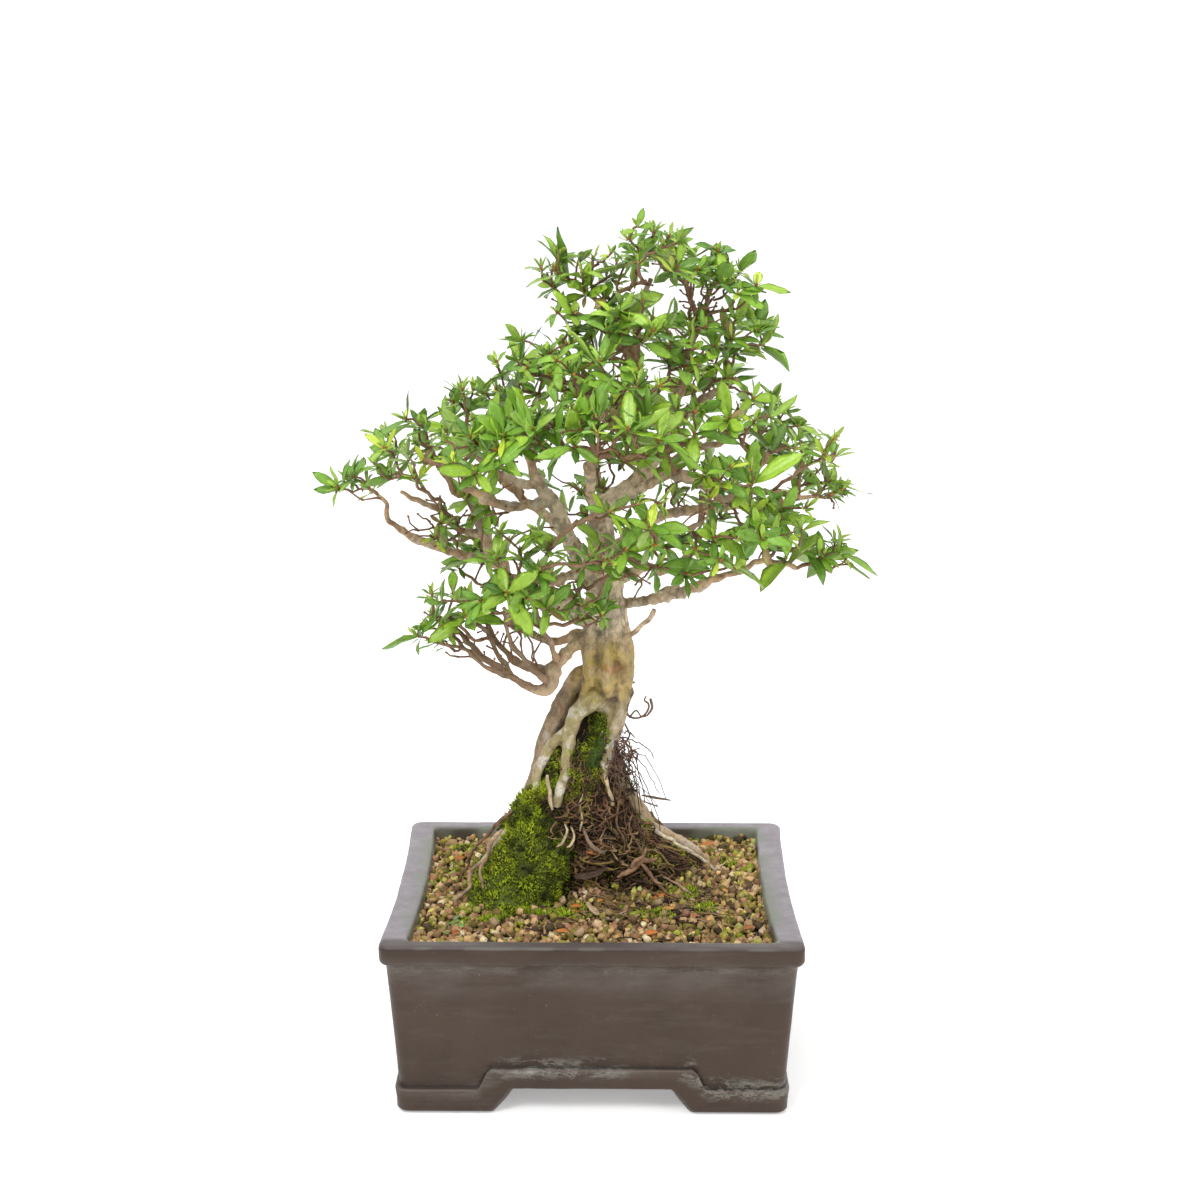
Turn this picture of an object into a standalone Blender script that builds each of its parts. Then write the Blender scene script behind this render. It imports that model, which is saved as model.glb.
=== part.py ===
"""Satsuki azalea bonsai growing in a footed rectangular pot, at its real size.

Units are metres with +Z up. The origin lies on the ground under the middle of the pot, and the
pot's front faces -Y. Tables of points are in millimetres and are multiplied by MM when used.
"""

import math

import bmesh
import bpy
import numpy as np
from mathutils import Vector
from mathutils.bvhtree import BVHTree

MM = 0.001
GAP = 0.3  # clearance between two pieces that rest on each other, in millimetres

# The pot, in millimetres
POT_LENGTH = 250.0
POT_DEPTH = 200.0
POT_HEIGHT = 112.0
LIP_HEIGHT = 13.4
LIP_OVERHANG = 5.0
FOOT_INSET = 10.4
CORNER_RADIUS = 7.0
SIDE_BOW = 3.0  # how far the two short sides curve inwards at their middle
RIM_SIDE = 16.0  # width of the rim's flat top at the short sides
RIM_FRONT = 10.0  # and at the front and back
FLOOR_UNDERSIDE = 15.9
FLOOR_TOP = 24.0
FOOT_WALL = 13.0
FOOT_LENGTH_X = 55.0
FOOT_LENGTH_Y = 43.0
ARCH_SLANT = 12.0  # how much shorter the arch is at its top than at the ground
BAND_PROUD = 1.3  # relief of the foot and apron band over the wall
BAND_LOW = 16.5
BAND_HIGH = 30.5
DRAIN_RADIUS = 11.0
DRAIN_X = 50.0

# The plastic mesh squares over the drain holes, and the wire staples that hold them
MESH_SIDE = 34.0
MESH_THICKNESS = 1.4
WIRE_RADIUS = 0.75
WIRE_SPREAD = 7.0
WIRE_LEG_OUT = 15.0

# Soil: the granules end below the rim
SOIL_TOP = 103.0
SOIL_RIPPLE = 1.2

# The root ball that rises out of the soil, as ellipses: height, centre x, centre y, radius x, radius y
ROOT_BALL = [
    (48, 4, 20, 66, 42), (88, 8, 26, 72, 38), (101, 8, 26, 70, 36), (106, 7.5, 25, 65.5, 33),
    (112, 7, 24, 62, 31), (122, 4, 22, 56, 29), (130, -0.5, 20, 49.5, 27), (140, -6, 18, 42, 25),
    (152, -8, 17, 38, 24), (172, -7.5, 16, 31.5, 21), (190, -5.5, 15, 25.5, 19),
    (203, -1.5, 15, 18.5, 16), (211, 1, 15, 12, 12),
]
# The moss bank that leans on the left of the root ball, in the same form
MOSS_BANK = [
    (103.9, -46, -8, 36, 30), (112, -44, -5, 32, 27), (125, -40, -1, 27, 23), (140, -36, 2, 22, 19),
    (156, -33, 4, 15, 13), (166, -33, 6, 8, 7),
]

# Woody parts, each a run of points: x, y, z and radius
TRUNK = [
    (11, 15, 220, 12.5), (11, 15, 232, 14.5), (9.5, 15, 248, 16), (8, 15, 262, 15.8), (8, 15, 277, 13.5),
    (7, 15, 292, 12), (7, 15, 308, 10.5), (5, 15, 325, 8.8), (4, 15, 342, 7.4), (11, 12, 354, 6.4),
    (24, 11, 363, 5.6), (33, 13, 375, 4.8), (37, 15, 387, 4.2), (40, 16, 392, 3.4),
]
ROOTS = {
    "left_leg": [
        (2, 15, 244, 8), (-7, 15, 241, 7.5), (-15, 14, 233, 7), (-21, 13, 221, 6.5), (-28, 12, 204, 5.5),
        (-34, 11, 188, 4.5), (-39, 10, 174, 3.5), (-42, 10, 158, 2.8),
    ],
    "front_loop": [
        (8, 8, 232, 6), (-4, 2, 228, 6), (-11, 1, 221, 5.8), (-15, 0, 211, 5.2), (-15, -1, 202, 4.6),
        (-17, -3, 193, 4), (-18, -4, 183, 3.6), (-21, -6, 174, 3.2), (-23, -7, 164, 2.4),
    ],
    "front_left": [
        (-15, 1, 212, 4.2), (-24, 3, 203, 4), (-31, 4, 192, 3.4), (-35, 4, 181, 2.8), (-36, 2, 171, 2),
    ],
    "small_column": [(0, 10, 245, 5), (-5, 6, 235, 4.4), (-9, 4, 226, 3.6)],
    "right_leg": [
        (12, 13, 240, 12), (15, 12, 226, 10.5), (13, 9, 212, 9), (10, 6, 200, 7), (8, 3, 189, 5),
        (7, 0, 180, 3),
    ],
    "right_runner": [
        (8, 3, 189, 2.6), (15, 5, 178, 3), (24, 8, 165, 3.6), (30, 13, 153, 3.8), (35, 18, 143, 3.6),
        (41, 23, 137, 3.2), (49, 26, 132, 3.2), (59, 30, 124, 3), (68, 34, 116, 2.6), (74, 38, 108, 2.2),
        (77, 41, 99, 1.6),
    ],
    "left_runner": [
        (-38, 8, 160, 2.6), (-47, 5, 151, 2.6), (-55, 2, 144, 2.6), (-62, 0, 135, 2.6),
        (-68, -1, 126, 2.4), (-73, -2, 115, 2), (-77, -3, 99, 1.4),
    ],
}
# Roots on the far side, as points on the root ball: height, azimuth in degrees from +X, radius
BACK_ROOTS = {
    "back_left": [
        (232, 135, 8), (210, 132, 6.5), (190, 128, 5.2), (165, 130, 4.2), (138, 134, 3.4),
        (115, 136, 2.6), (97, 137, 1.8),
    ],
    "back_middle": [
        (230, 92, 8), (205, 94, 6), (180, 88, 4.6),
        (150, 84, 3.6), (122, 86, 2.6), (98, 88, 1.8),
    ],
    "back_right": [
        (232, 50, 9), (210, 48, 7), (188, 52, 5.5), (162, 50, 4.4), (135, 46, 3.4), (112, 44, 2.6),
        (97, 43, 1.8),
    ],
}
LIMBS = {
    "right_diagonal": [
        (37, 15, 386, 4), (46, 17, 396, 3.6), (59, 19, 408, 2.9), (72, 17, 418, 2.3), (85, 15, 427, 1.6),
    ],
    "leader": [
        (36, 15, 381, 3.8), (29, 13, 397, 3.2), (28, 11, 415, 2.8), (27, 11, 432, 2.5), (24, 11, 448, 2.2),
        (27, 13, 468, 1.8), (33, 15, 486, 1.3),
    ],
    "apex_right": [
        (44, 17, 394, 3.2), (49, 21, 411, 2.8), (54, 21, 429, 2.5), (58, 19, 447, 2.3), (66, 17, 466, 2),
        (70, 15, 482, 1.3),
    ],
    "left_main": [
        (4, 16, 276, 8), (-15, 25, 281, 6.4), (-34, 29, 286, 5.4), (-50, 31, 296, 5), (-62, 31, 313, 4.6),
        (-68, 29, 330, 4), (-72, 27, 343, 3.4), (-78, 25, 357, 2.6), (-80, 23, 373, 1.9),
    ],
    "left_long": [
        (-64, 31, 314, 2.9), (-82, 27, 316, 2.7), (-100, 23, 324, 2.4), (-114, 19, 331, 1.9),
        (-124, 17, 339, 1.5), (-126, 15, 350, 1.2), (-133, 15, 358, 0.9),
    ],
    "left_spread": [
        (-68, 29, 328, 2.9), (-82, 25, 333, 2.5), (-93, 21, 345, 2),
        (-109, 17, 352, 1.6), (-117, 15, 359, 1.1),
    ],
    "left_second": [
        (5, 13, 296, 6.5), (-9, 3, 319, 5.8), (-18, -1, 339, 5.2), (-24, -3, 356, 4.6), (-33, -5, 368, 3.8),
        (-37, -7, 383, 3), (-38, -7, 400, 2.3), (-43, -5, 416, 1.6),
    ],
    "left_second_low": [
        (-25, -3, 358, 3.4), (-41, -7, 355, 3), (-53, -10, 355, 2.6),
        (-66, -12, 361, 2.1), (-79, -12, 366, 1.5),
    ],
    "left_second_high": [
        (-32, -5, 367, 3.2), (-44, -1, 367, 3), (-58, 4, 371, 2.5), (-65, 5, 377, 2), (-71, 5, 387, 1.6),
        (-76, 7, 400, 1.2),
    ],
    "left_low": [
        (2, 12, 273, 7), (-13, 1, 264, 5.6), (-22, -5, 254, 5), (-28, -9, 241, 5.4), (-40, -11, 242, 3.8),
        (-54, -12, 253, 3.3), (-69, -11, 265, 2.9), (-81, -9, 275, 2.3), (-91, -7, 284, 1.6),
    ],
    "left_low_inner": [
        (-26, -7, 249, 3.2), (-41, -3, 254, 2.7), (-54, 1, 262, 2.3), (-61, 3, 272, 1.8), (-66, 5, 284, 1.2),
    ],
    "left_middle": [
        (0, 20, 268, 4.4), (-20, 27, 261, 3.2), (-31, 31, 260, 2.8), (-40, 33, 263, 2.4), (-51, 35, 268, 2),
        (-58, 35, 280, 1.3),
    ],
    "cut_stub": [(12, 8, 270, 3), (20, -1, 273, 2.2), (31, -6, 281, 2), (36, -8, 285, 2.3)],
    "right_low": [
        (10, 14, 290, 4.6), (31, 9, 291, 3), (44, 5, 295, 3), (55, 2, 300, 3.4), (67, 0, 304, 3.2),
        (76, -1, 308, 2.2), (88, -1, 314, 1.9), (98, 0, 319, 1.7), (110, 2, 319, 1.5), (122, 3, 315, 1.2),
    ],
    "right_second": [
        (9, 19, 299, 4.6), (26, 29, 305, 3.6), (35, 35, 306, 3.1), (41, 39, 302, 2.7), (51, 43, 306, 2.2),
        (60, 45, 311, 1.6),
    ],
    "right_third": [
        (6, 17, 309, 6), (17, 25, 323, 5.2), (26, 31, 332, 4.4), (36, 36, 337, 3.6), (51, 41, 341, 3),
        (68, 45, 341, 2.5), (87, 47, 343, 2), (104, 47, 343, 1.5),
    ],
    "right_fourth": [
        (14, 12, 356, 4), (34, 1, 367, 3.2), (48, -5, 373, 2.7), (63, -9, 368, 2.5), (77, -11, 361, 2.3),
        (90, -11, 365, 2), (97, -9, 375, 1.7), (102, -7, 387, 1.3),
    ],
    "right_outer": [(88, -11, 365, 1.9), (106, -3, 362, 1.6), (122, 5, 358, 1.3), (136, 11, 356, 1)],
    "upper_left": [
        (33, 14, 380, 3.4), (15, 7, 398, 2.8), (4, 3, 410, 2.4), (-8, 0, 421, 2), (-18, -1, 429, 1.5),
    ],
    "upper_middle": [(28, 11, 421, 2.6), (20, 5, 441, 2.1), (12, 4, 448, 1.5)],
    "apex_left": [
        (26, 11, 434, 2.1), (18, 13, 452, 1.8), (8, 16, 467, 1.5), (-6, 20, 480, 1),
    ],
    "front_centre": [
        (4, 13, 340, 4.4), (0, -5, 359, 3.2), (-2, -22, 374, 2.6), (0, -40, 386, 2), (3, -56, 394, 1.4),
    ],
    "front_right": [
        (7, 12, 322, 4.6), (18, -10, 334, 3.4), (32, -26, 340, 2.8), (50, -36, 346, 2.2), (62, -42, 352, 1.4),
    ],
    "front_left": [
        (3, 12, 308, 4.4), (-12, -14, 314, 3.4), (-24, -32, 314, 2.8),
        (-36, -42, 318, 2.2), (-46, -50, 322, 1.4),
    ],
    "back_left": [
        (2, 18, 312, 5.4), (-14, 38, 322, 4.2), (-32, 52, 336, 3.4), (-52, 60, 352, 2.6), (-68, 64, 364, 1.8),
    ],
    "back_low": [
        (4, 18, 284, 5), (-8, 38, 282, 3.6), (-22, 52, 280, 2.8),
        (-42, 58, 286, 2.2), (-58, 60, 292, 1.5),
    ],
    "back_centre": [
        (5, 18, 333, 4.8), (4, 40, 346, 3.8), (2, 60, 358, 3),
        (0, 76, 370, 2.2), (-2, 86, 378, 1.5),
    ],
    "back_right": [
        (5, 18, 344, 4.6), (22, 38, 352, 3.8), (42, 50, 364, 3), (62, 58, 376, 2.4), (84, 60, 384, 1.7),
    ],
}

# Foliage pads: centre, half sizes and number of leaf whorls. Each pad is one leafy shoot.
FOLIAGE = {
    "apex_front": ((33, -8, 498), (22, 18, 17), 4),
    "apex_back": ((44, 48, 496), (22, 18, 15), 4),
    "apex_left": ((3, 14, 490), (18, 16, 15), 4),
    "apex_left_tip": ((-20, 20, 495), (15, 12, 12), 3),
    "apex_right": ((66, 12, 496), (18, 16, 13), 4),
    "apex_right_tip": ((84, 8, 491), (12, 12, 10), 2),
    "upper_left": ((-4, 6, 468), (20, 16, 13), 4),
    "upper_front": ((22, -28, 464), (20, 16, 15), 4),
    "upper_back": ((28, 66, 450), (24, 18, 17), 4),
    "upper_right": ((56, -6, 450), (20, 18, 15), 4),
    "upper_right_tip": ((90, 18, 451), (18, 16, 13), 4),
    "upper_right_back": ((73, 68, 420), (22, 18, 15), 4),
    "shoulder_left": ((-31, -2, 438), (24, 17, 15), 4),
    "shoulder_left_back": ((-37, 68, 418), (24, 18, 16), 4),
    "shoulder_middle": ((-4, -38, 437), (20, 16, 15), 4),
    "shoulder_centre": ((25, -56, 432), (22, 16, 15), 4),
    "left_upper": ((-68, 10, 418), (22, 18, 14), 4),
    "left_upper_front": ((-48, -52, 409), (22, 17, 15), 4),
    "left_outer": ((-105, 16, 393), (22, 18, 17), 4),
    "left_outer_front": ((-113, -22, 384), (20, 15, 13), 3),
    "left_tip": ((-144, 15, 363), (12, 9, 8), 2),
    "left_inner": ((-71, -48, 393), (22, 16, 15), 4),
    "left_inner_back": ((-88, 64, 381), (24, 18, 16), 4),
    "centre_left": ((-26, -62, 410), (22, 15, 16), 4),
    "centre": ((2, -84, 416), (22, 15, 16), 4),
    "centre_back": ((-3, 86, 389), (24, 15, 18), 4),
    "centre_right": ((32, -78, 407), (22, 16, 16), 4),
    "right_upper": ((61, -44, 412), (20, 16, 15), 4),
    "right_shoulder": ((98, 4, 404), (22, 18, 15), 4),
    "right_shoulder_back": ((106, 58, 392), (24, 18, 17), 4),
    "right_outer": ((128, 6, 383), (22, 17, 15), 4),
    "right_outer_back": ((133, 42, 360), (20, 15, 14), 3),
    "right_tip": ((148, 14, 360), (8, 7, 7), 2),
    "right_middle": ((74, -52, 379), (22, 15, 14), 4),
    "right_hanging": ((107, -26, 350), (20, 15, 16), 4),
    "right_low_tip": ((146, 4, 321), (12, 11, 10), 2),
    "right_low": ((76, -50, 341), (24, 15, 12), 4),
    "centre_low": ((28, -80, 362), (18, 13, 14), 3),
    "centre_low_left": ((4, -74, 338), (16, 12, 12), 2),
    "left_low": ((-79, -24, 299), (24, 16, 14), 4),
    "left_low_outer": ((-95, -8, 276), (15, 12, 12), 2),
    "left_low_upper": ((-41, -50, 334), (22, 15, 17), 4),
    "left_low_front": ((-48, -62, 313), (18, 13, 12), 3),
    "trunk_sprig": ((-1, -18, 292), (9, 8, 8), 2),
    "left_low_back": ((-79, 58, 305), (24, 17, 16), 4),
    "right_back": ((67, 76, 347), (24, 17, 17), 4),
    "middle_back": ((3, 88, 336), (24, 13, 18), 4),
    "low_back": ((-23, 70, 289), (20, 15, 14), 3),
}
CROWN_BOX = ((-162.0, -112.0, 235.0), (167.0, 113.0, 523.0))  # how far the leaves may reach
WHORL_SPACING = 15.0
LEAVES_PER_WHORL = 4
LEAF_LENGTH = (14.0, 22.0)
LEAF_WIDTH_SHARE = 0.31
SHORTEST_STEM = 22.0
STEM_RADIUS = (1.5, 1.0)
TWIG_RADIUS = (0.85, 0.65)
HUB_HEIGHT = 1.1
HUB_RADIUS = 1.5
LEAF_TILT = (18.0, 46.0)  # degrees above the plane across the twig's end
CLEARANCE = 0.6  # what the trial shapes are grown by when shoots are kept apart
HAIR = 0.2  # the same within one shoot
TRIES = 44  # places tried for each sprig
TRIES_APART = 20  # of which this many keep the leaves of one shoot from crossing
SHRINK_PER_TRY = 0.015
SHIFT_PER_TRY = 0.4
STEM_BASES_TRIED = 40
SEAT_STEP = 0.1
STEM_START = 3.0  # how far off its limb a stem starts before it is seated
FIRST_SHOOT_SEED = 100
BALL_SEED = 11
SOIL_SEED = 5

# Pieces of bark lying on the soil in front of the roots: centre, half sizes, turn in degrees
BARK_CHIPS = {
    "bark_chip_large": ((14, -24, 107.4), (11, 4.5, 1.3), 12),
    "bark_chip_long": ((36, -18, 107.2), (9, 2.6, 1.1), 24),
    "wood_chip": ((6, -44, 107.2), (7, 2.2, 1.1), -62),
}

PLANNED_BOOLEANS = []

COLOURS = {
    "pot": ((0.115, 0.088, 0.075), 0.55),
    "plastic_mesh": ((0.02, 0.02, 0.02), 0.5),
    "wire": ((0.42, 0.30, 0.22), 0.4),
    "soil": ((0.42, 0.30, 0.17), 0.95),
    "root_ball": ((0.10, 0.065, 0.04), 1.0),
    "moss": ((0.12, 0.26, 0.03), 1.0),
    "bark": ((0.42, 0.33, 0.24), 0.85),
    "leaf": ((0.10, 0.30, 0.07), 0.45),
    "chip": ((0.16, 0.09, 0.05), 0.9),
}


def clear_scene():
    for obj in list(bpy.data.objects):
        bpy.data.objects.remove(obj)


def new_collection(name, parent=None):
    collection = bpy.data.collections.new(name)
    (parent or bpy.context.scene.collection).children.link(collection)
    return collection


def make_material(name):
    colour, roughness = COLOURS[name]
    material = bpy.data.materials.new(name)
    material.use_nodes = True
    shader = material.node_tree.nodes["Principled BSDF"]
    shader.inputs["Base Color"].default_value = (*colour, 1)
    shader.inputs["Roughness"].default_value = roughness
    shader.inputs["Metallic"].default_value = 1.0 if name == "wire" else 0.0
    return material


def add_object(name, mesh, collection, material=None):
    obj = bpy.data.objects.new(name, mesh)
    collection.objects.link(obj)
    if material:
        mesh.materials.append(material)
    return obj


def as_cutter(obj):
    obj.hide_render = True
    obj.display_type = "WIRE"
    return obj


def join_mesh(name, points, faces):
    """A mesh in metres from points in millimetres, with its faces turned outwards."""
    mesh = bpy.data.meshes.new(name)
    mesh.from_pydata([Vector(point) * MM for point in points], [], faces)
    turn_outwards(mesh)
    return mesh


def turn_outwards(mesh):
    work = bmesh.new()
    work.from_mesh(mesh)
    bmesh.ops.remove_doubles(work, verts=work.verts, dist=1e-6)
    bmesh.ops.recalc_face_normals(work, faces=work.faces)
    if work.calc_volume(signed=True) < 0:
        bmesh.ops.reverse_faces(work, faces=work.faces)
    work.to_mesh(mesh)
    work.free()


def loft(name, rings):
    """A closed body through rings of equally many points, capped at both ends."""
    count = len(rings[0])
    points = [point for ring in rings for point in ring]
    faces = [
        (low * count + k, low * count + (k + 1) % count, (low + 1) * count + (k + 1) % count,
         (low + 1) * count + k)
        for low in range(len(rings) - 1)
        for k in range(count)
    ]
    faces += [tuple(range(count)), tuple(range((len(rings) - 1) * count, len(rings) * count))]
    return join_mesh(name, points, faces)


def ellipse_ring(z, centre_x, centre_y, radius_x, radius_y, sides):
    turns = np.linspace(0, 2 * math.pi, sides, endpoint=False)
    return [(centre_x + radius_x * math.cos(t), centre_y + radius_y * math.sin(t), z) for t in turns]


def rounded_rectangle(half_x, half_y, radius, z, bow=0.0, corner_steps=2):
    """Points round a rectangle with round corners, its short sides bowed in by bow at their middle."""
    points = []
    for quarter, (sign_x, sign_y) in enumerate(((1, 1), (-1, 1), (-1, -1), (1, -1))):
        for step in range(corner_steps + 1):
            angle = math.radians(90 * (quarter + step / corner_steps))
            points.append((
                sign_x * (half_x - radius) + radius * math.cos(angle),
                sign_y * (half_y - radius) + radius * math.sin(angle),
                z,
            ))
        if sign_x == sign_y:
            points.append((0, sign_y * half_y, z))
        else:
            points += [(sign_x * (half_x - bow * share), sign_x * half_y * place, z)
                       for share, place in ((0.72, -0.5), (1.0, 0.0), (0.72, 0.5))]
    return points


def boolean(obj, operation, other=None, collection=None, solver="EXACT"):
    """Plans a Boolean. add_booleans makes the modifiers last, so that no earlier step waits for them."""
    PLANNED_BOOLEANS.append((obj, operation, other, collection, solver))


def add_booleans():
    for obj, operation, other, collection, solver in PLANNED_BOOLEANS:
        modifier = obj.modifiers.new(operation.title(), "BOOLEAN")
        modifier.operation = operation
        modifier.solver = solver
        if collection:
            modifier.operand_type = "COLLECTION"
            modifier.collection = collection
        else:
            modifier.object = other


def tubes_to_meshes(tubes, collection, grow=0.0):
    """Round tubes as closed meshes. tubes is {name: (points with radii, bevel resolution)}."""
    curves = []
    for name, (points, resolution) in tubes.items():
        curve = bpy.data.curves.new(name, "CURVE")
        curve.dimensions = "3D"
        curve.bevel_depth = 1.0
        curve.bevel_resolution = resolution
        curve.use_fill_caps = True
        spline = curve.splines.new("POLY")
        spline.points.add(len(points) - 1)
        for place, (x, y, z, radius) in zip(spline.points, points):
            place.co = (x * MM, y * MM, z * MM, 1)
            place.radius = (radius + grow) * MM
        obj = bpy.data.objects.new(name, curve)
        collection.objects.link(obj)
        curves.append(obj)
    graph = bpy.context.evaluated_depsgraph_get()
    meshes = [bpy.data.meshes.new_from_object(obj.evaluated_get(graph)) for obj in curves]
    made = []
    for obj, mesh in zip(curves, meshes):
        name, matrix = obj.name, obj.matrix_world.copy()
        curve = obj.data
        bpy.data.objects.remove(obj)
        bpy.data.curves.remove(curve)
        turn_outwards(mesh)
        tube = add_object(name, mesh, collection)
        tube.matrix_world = matrix
        made.append(tube)
    return made


def box(name, low, high, collection):
    """A box from its two corners in millimetres."""
    bpy.ops.mesh.primitive_cube_add(size=1)
    obj = bpy.context.object
    obj.name = name
    for vertex in obj.data.vertices:
        vertex.co = [
            ((a + b) / 2 + (b - a) * c) * MM for a, b, c in zip(low, high, vertex.co)
        ]
    move_to(obj, collection)
    return obj


def move_to(obj, collection):
    for old in list(obj.users_collection):
        old.objects.unlink(obj)
    collection.objects.link(obj)


def arch_prism(name, half_low, height, reach, along_y, collection):
    """The gap between two feet: a trapezium, narrower at its top, drawn right through the pot."""
    half_high = half_low - ARCH_SLANT
    outline = [(-half_low, -1), (half_low, -1), (half_high, height), (-half_high, height)]
    if along_y:
        rings = [[(x, side * reach, z) for x, z in outline] for side in (-1, 1)]
    else:
        rings = [[(side * reach, y, z) for y, z in outline] for side in (-1, 1)]
    return as_cutter(add_object(name, loft(name, rings), collection))


def make_pot(parts, cutters):
    half_x, half_y = POT_LENGTH / 2, POT_DEPTH / 2
    foot_x, foot_y = half_x - FOOT_INSET, half_y - FOOT_INSET
    body_x, body_y = half_x - LIP_OVERHANG, half_y - LIP_OVERHANG
    lip_low = POT_HEIGHT - LIP_HEIGHT
    profile = [  # height, half x, half y, corner radius, bow
        (0, foot_x, foot_y, CORNER_RADIUS, 0),
        (lip_low, body_x, body_y, CORNER_RADIUS, SIDE_BOW * 0.7),
        (lip_low + 2.2, half_x - 0.6, half_y - 0.6, CORNER_RADIUS, SIDE_BOW),
        (lip_low + 4, half_x, half_y, CORNER_RADIUS, SIDE_BOW),
        (POT_HEIGHT - 1.5, half_x, half_y, CORNER_RADIUS, SIDE_BOW),
        (POT_HEIGHT, half_x - 1.5, half_y - 1.5, CORNER_RADIUS, SIDE_BOW),
    ]
    rings = [rounded_rectangle(x, y, radius, z, bow) for z, x, y, radius, bow in profile]
    pot = add_object("pot", loft("pot", rings), parts, make_material("pot"))

    slope_x = (body_x - foot_x) / lip_low
    slope_y = (body_y - foot_y) / lip_low
    band_rings = [
        rounded_rectangle(foot_x + slope_x * z + proud, foot_y + slope_y * z + proud, CORNER_RADIUS, z)
        for z, proud in ((0, BAND_PROUD * 0.4), (1.5, BAND_PROUD), (BAND_HIGH - 1.2, BAND_PROUD),
                         (BAND_HIGH, BAND_PROUD * 0.2))
    ]
    band = as_cutter(add_object("foot_band", loft("foot_band", band_rings), cutters))
    steps = new_collection("foot_band_steps", cutters)
    for sign_x in (-1, 1):
        for sign_y in (-1, 1):
            corner_x, corner_y = foot_x - FOOT_LENGTH_X, foot_y - FOOT_LENGTH_Y
            low = (min(sign_x * corner_x, sign_x * 130), min(sign_y * corner_y, sign_y * 110), BAND_LOW)
            high = (max(sign_x * corner_x, sign_x * 130), max(sign_y * corner_y, sign_y * 110), 40)
            as_cutter(box("foot_band_step", low, high, steps))
    boolean(band, "DIFFERENCE", collection=steps)
    boolean(pot, "UNION", band)

    hollows = new_collection("pot_hollows", cutters)
    inner_x, inner_y = half_x - RIM_SIDE, half_y - RIM_FRONT
    cavity = [
        rounded_rectangle(x, y, radius, z, bow)
        for z, x, y, radius, bow in (
            (FLOOR_TOP, inner_x - 8, inner_y - 7, 6, 0),
            (POT_HEIGHT - 2.5, inner_x - 1.2, inner_y - 1.2, 5, SIDE_BOW),
            (POT_HEIGHT - 1, inner_x - 0.4, inner_y - 0.4, 5, SIDE_BOW),
            (POT_HEIGHT + 2, inner_x + 1.5, inner_y + 1.5, 5, SIDE_BOW),
        )
    ]
    as_cutter(add_object("cavity", loft("cavity", cavity), hollows))
    recess = [
        rounded_rectangle(foot_x - FOOT_WALL, foot_y - FOOT_WALL, 4, z)
        for z in (-1, FLOOR_UNDERSIDE)
    ]
    as_cutter(add_object("recess", loft("recess", recess), hollows))
    arch_prism("arch_front", foot_x - FOOT_LENGTH_X, FLOOR_UNDERSIDE - 0.2, 110, True, hollows)
    arch_prism("arch_side", foot_y - FOOT_LENGTH_Y, FLOOR_UNDERSIDE - 0.2, 135, False, hollows)
    for sign in (-1, 1):
        bpy.ops.mesh.primitive_cylinder_add(
            vertices=20, radius=DRAIN_RADIUS * MM, depth=20 * MM,
            location=(sign * DRAIN_X * MM, 0, FLOOR_UNDERSIDE * MM),
        )
        move_to(as_cutter(bpy.context.object), hollows)
    boolean(pot, "DIFFERENCE", collection=hollows)
    return cavity


def make_drain_cover(side, sign, parts, cutters):
    """A plastic mesh square over a drain hole, with two slots for the legs of its wire staple."""
    bottom = FLOOR_TOP + GAP
    centre = sign * DRAIN_X
    half = MESH_SIDE / 2
    mesh = box(
        f"drain_mesh_{side}", (centre - half, -half, bottom), (centre + half, half, bottom + MESH_THICKNESS),
        parts,
    )
    mesh.data.materials.append(make_material("plastic_mesh"))
    slots = new_collection(f"mesh_slots_{side}", cutters)
    slot = WIRE_RADIUS + GAP
    for leg in (-1, 1):
        x = centre + leg * WIRE_SPREAD
        as_cutter(box("slot", (x - slot, -slot, bottom - 1), (x + slot, slot, bottom + 3), slots))
    for row in (-8, 8):
        for column in (-9, 9):
            x = centre + column
            as_cutter(box("hole", (x - 5, row - 4, bottom - 1), (x + 5, row + 4, bottom + 3), slots))
    boolean(mesh, "DIFFERENCE", collection=slots)

    over = bottom + MESH_THICKNESS + GAP + WIRE_RADIUS
    under = FLOOR_UNDERSIDE - GAP - WIRE_RADIUS
    bend = 1.2
    right_half = [
        (WIRE_SPREAD - bend, over), (WIRE_SPREAD, over - bend), (WIRE_SPREAD, under + bend),
        (WIRE_SPREAD + bend, under), (WIRE_LEG_OUT, under),
    ]
    route = [(-x, z) for x, z in reversed(right_half)] + right_half
    points = [(centre + x, 0, z, WIRE_RADIUS) for x, z in route]
    wire = tubes_to_meshes({f"mesh_wire_{side}": (points, 1)}, parts)[0]
    wire.data.materials.append(make_material("wire"))


def root_ball_rings(grow=0.0, sides=14):
    """The root ball's ellipses, with a fixed small unevenness that the socket in the soil follows too."""
    rng = np.random.default_rng(BALL_SEED)
    rings = []
    for z, x, y, radius_x, radius_y in ROOT_BALL:
        uneven = 1 + 0.03 * rng.uniform(-1, 1, sides)
        ring = ellipse_ring(z, 0, 0, radius_x, radius_y, sides)
        scaled = [(px * u, py * u, pz) for (px, py, pz), u in zip(ring, uneven)]
        wider = 1 + grow / min(radius_x, radius_y)
        rings.append([(x + px * wider, y + py * wider, pz) for px, py, pz in scaled])
    if grow:
        rings[0] = [(px, py, pz - grow) for px, py, pz in rings[0]]
        rings[-1] = [(px, py, pz + grow) for px, py, pz in rings[-1]]
    return rings


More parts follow.
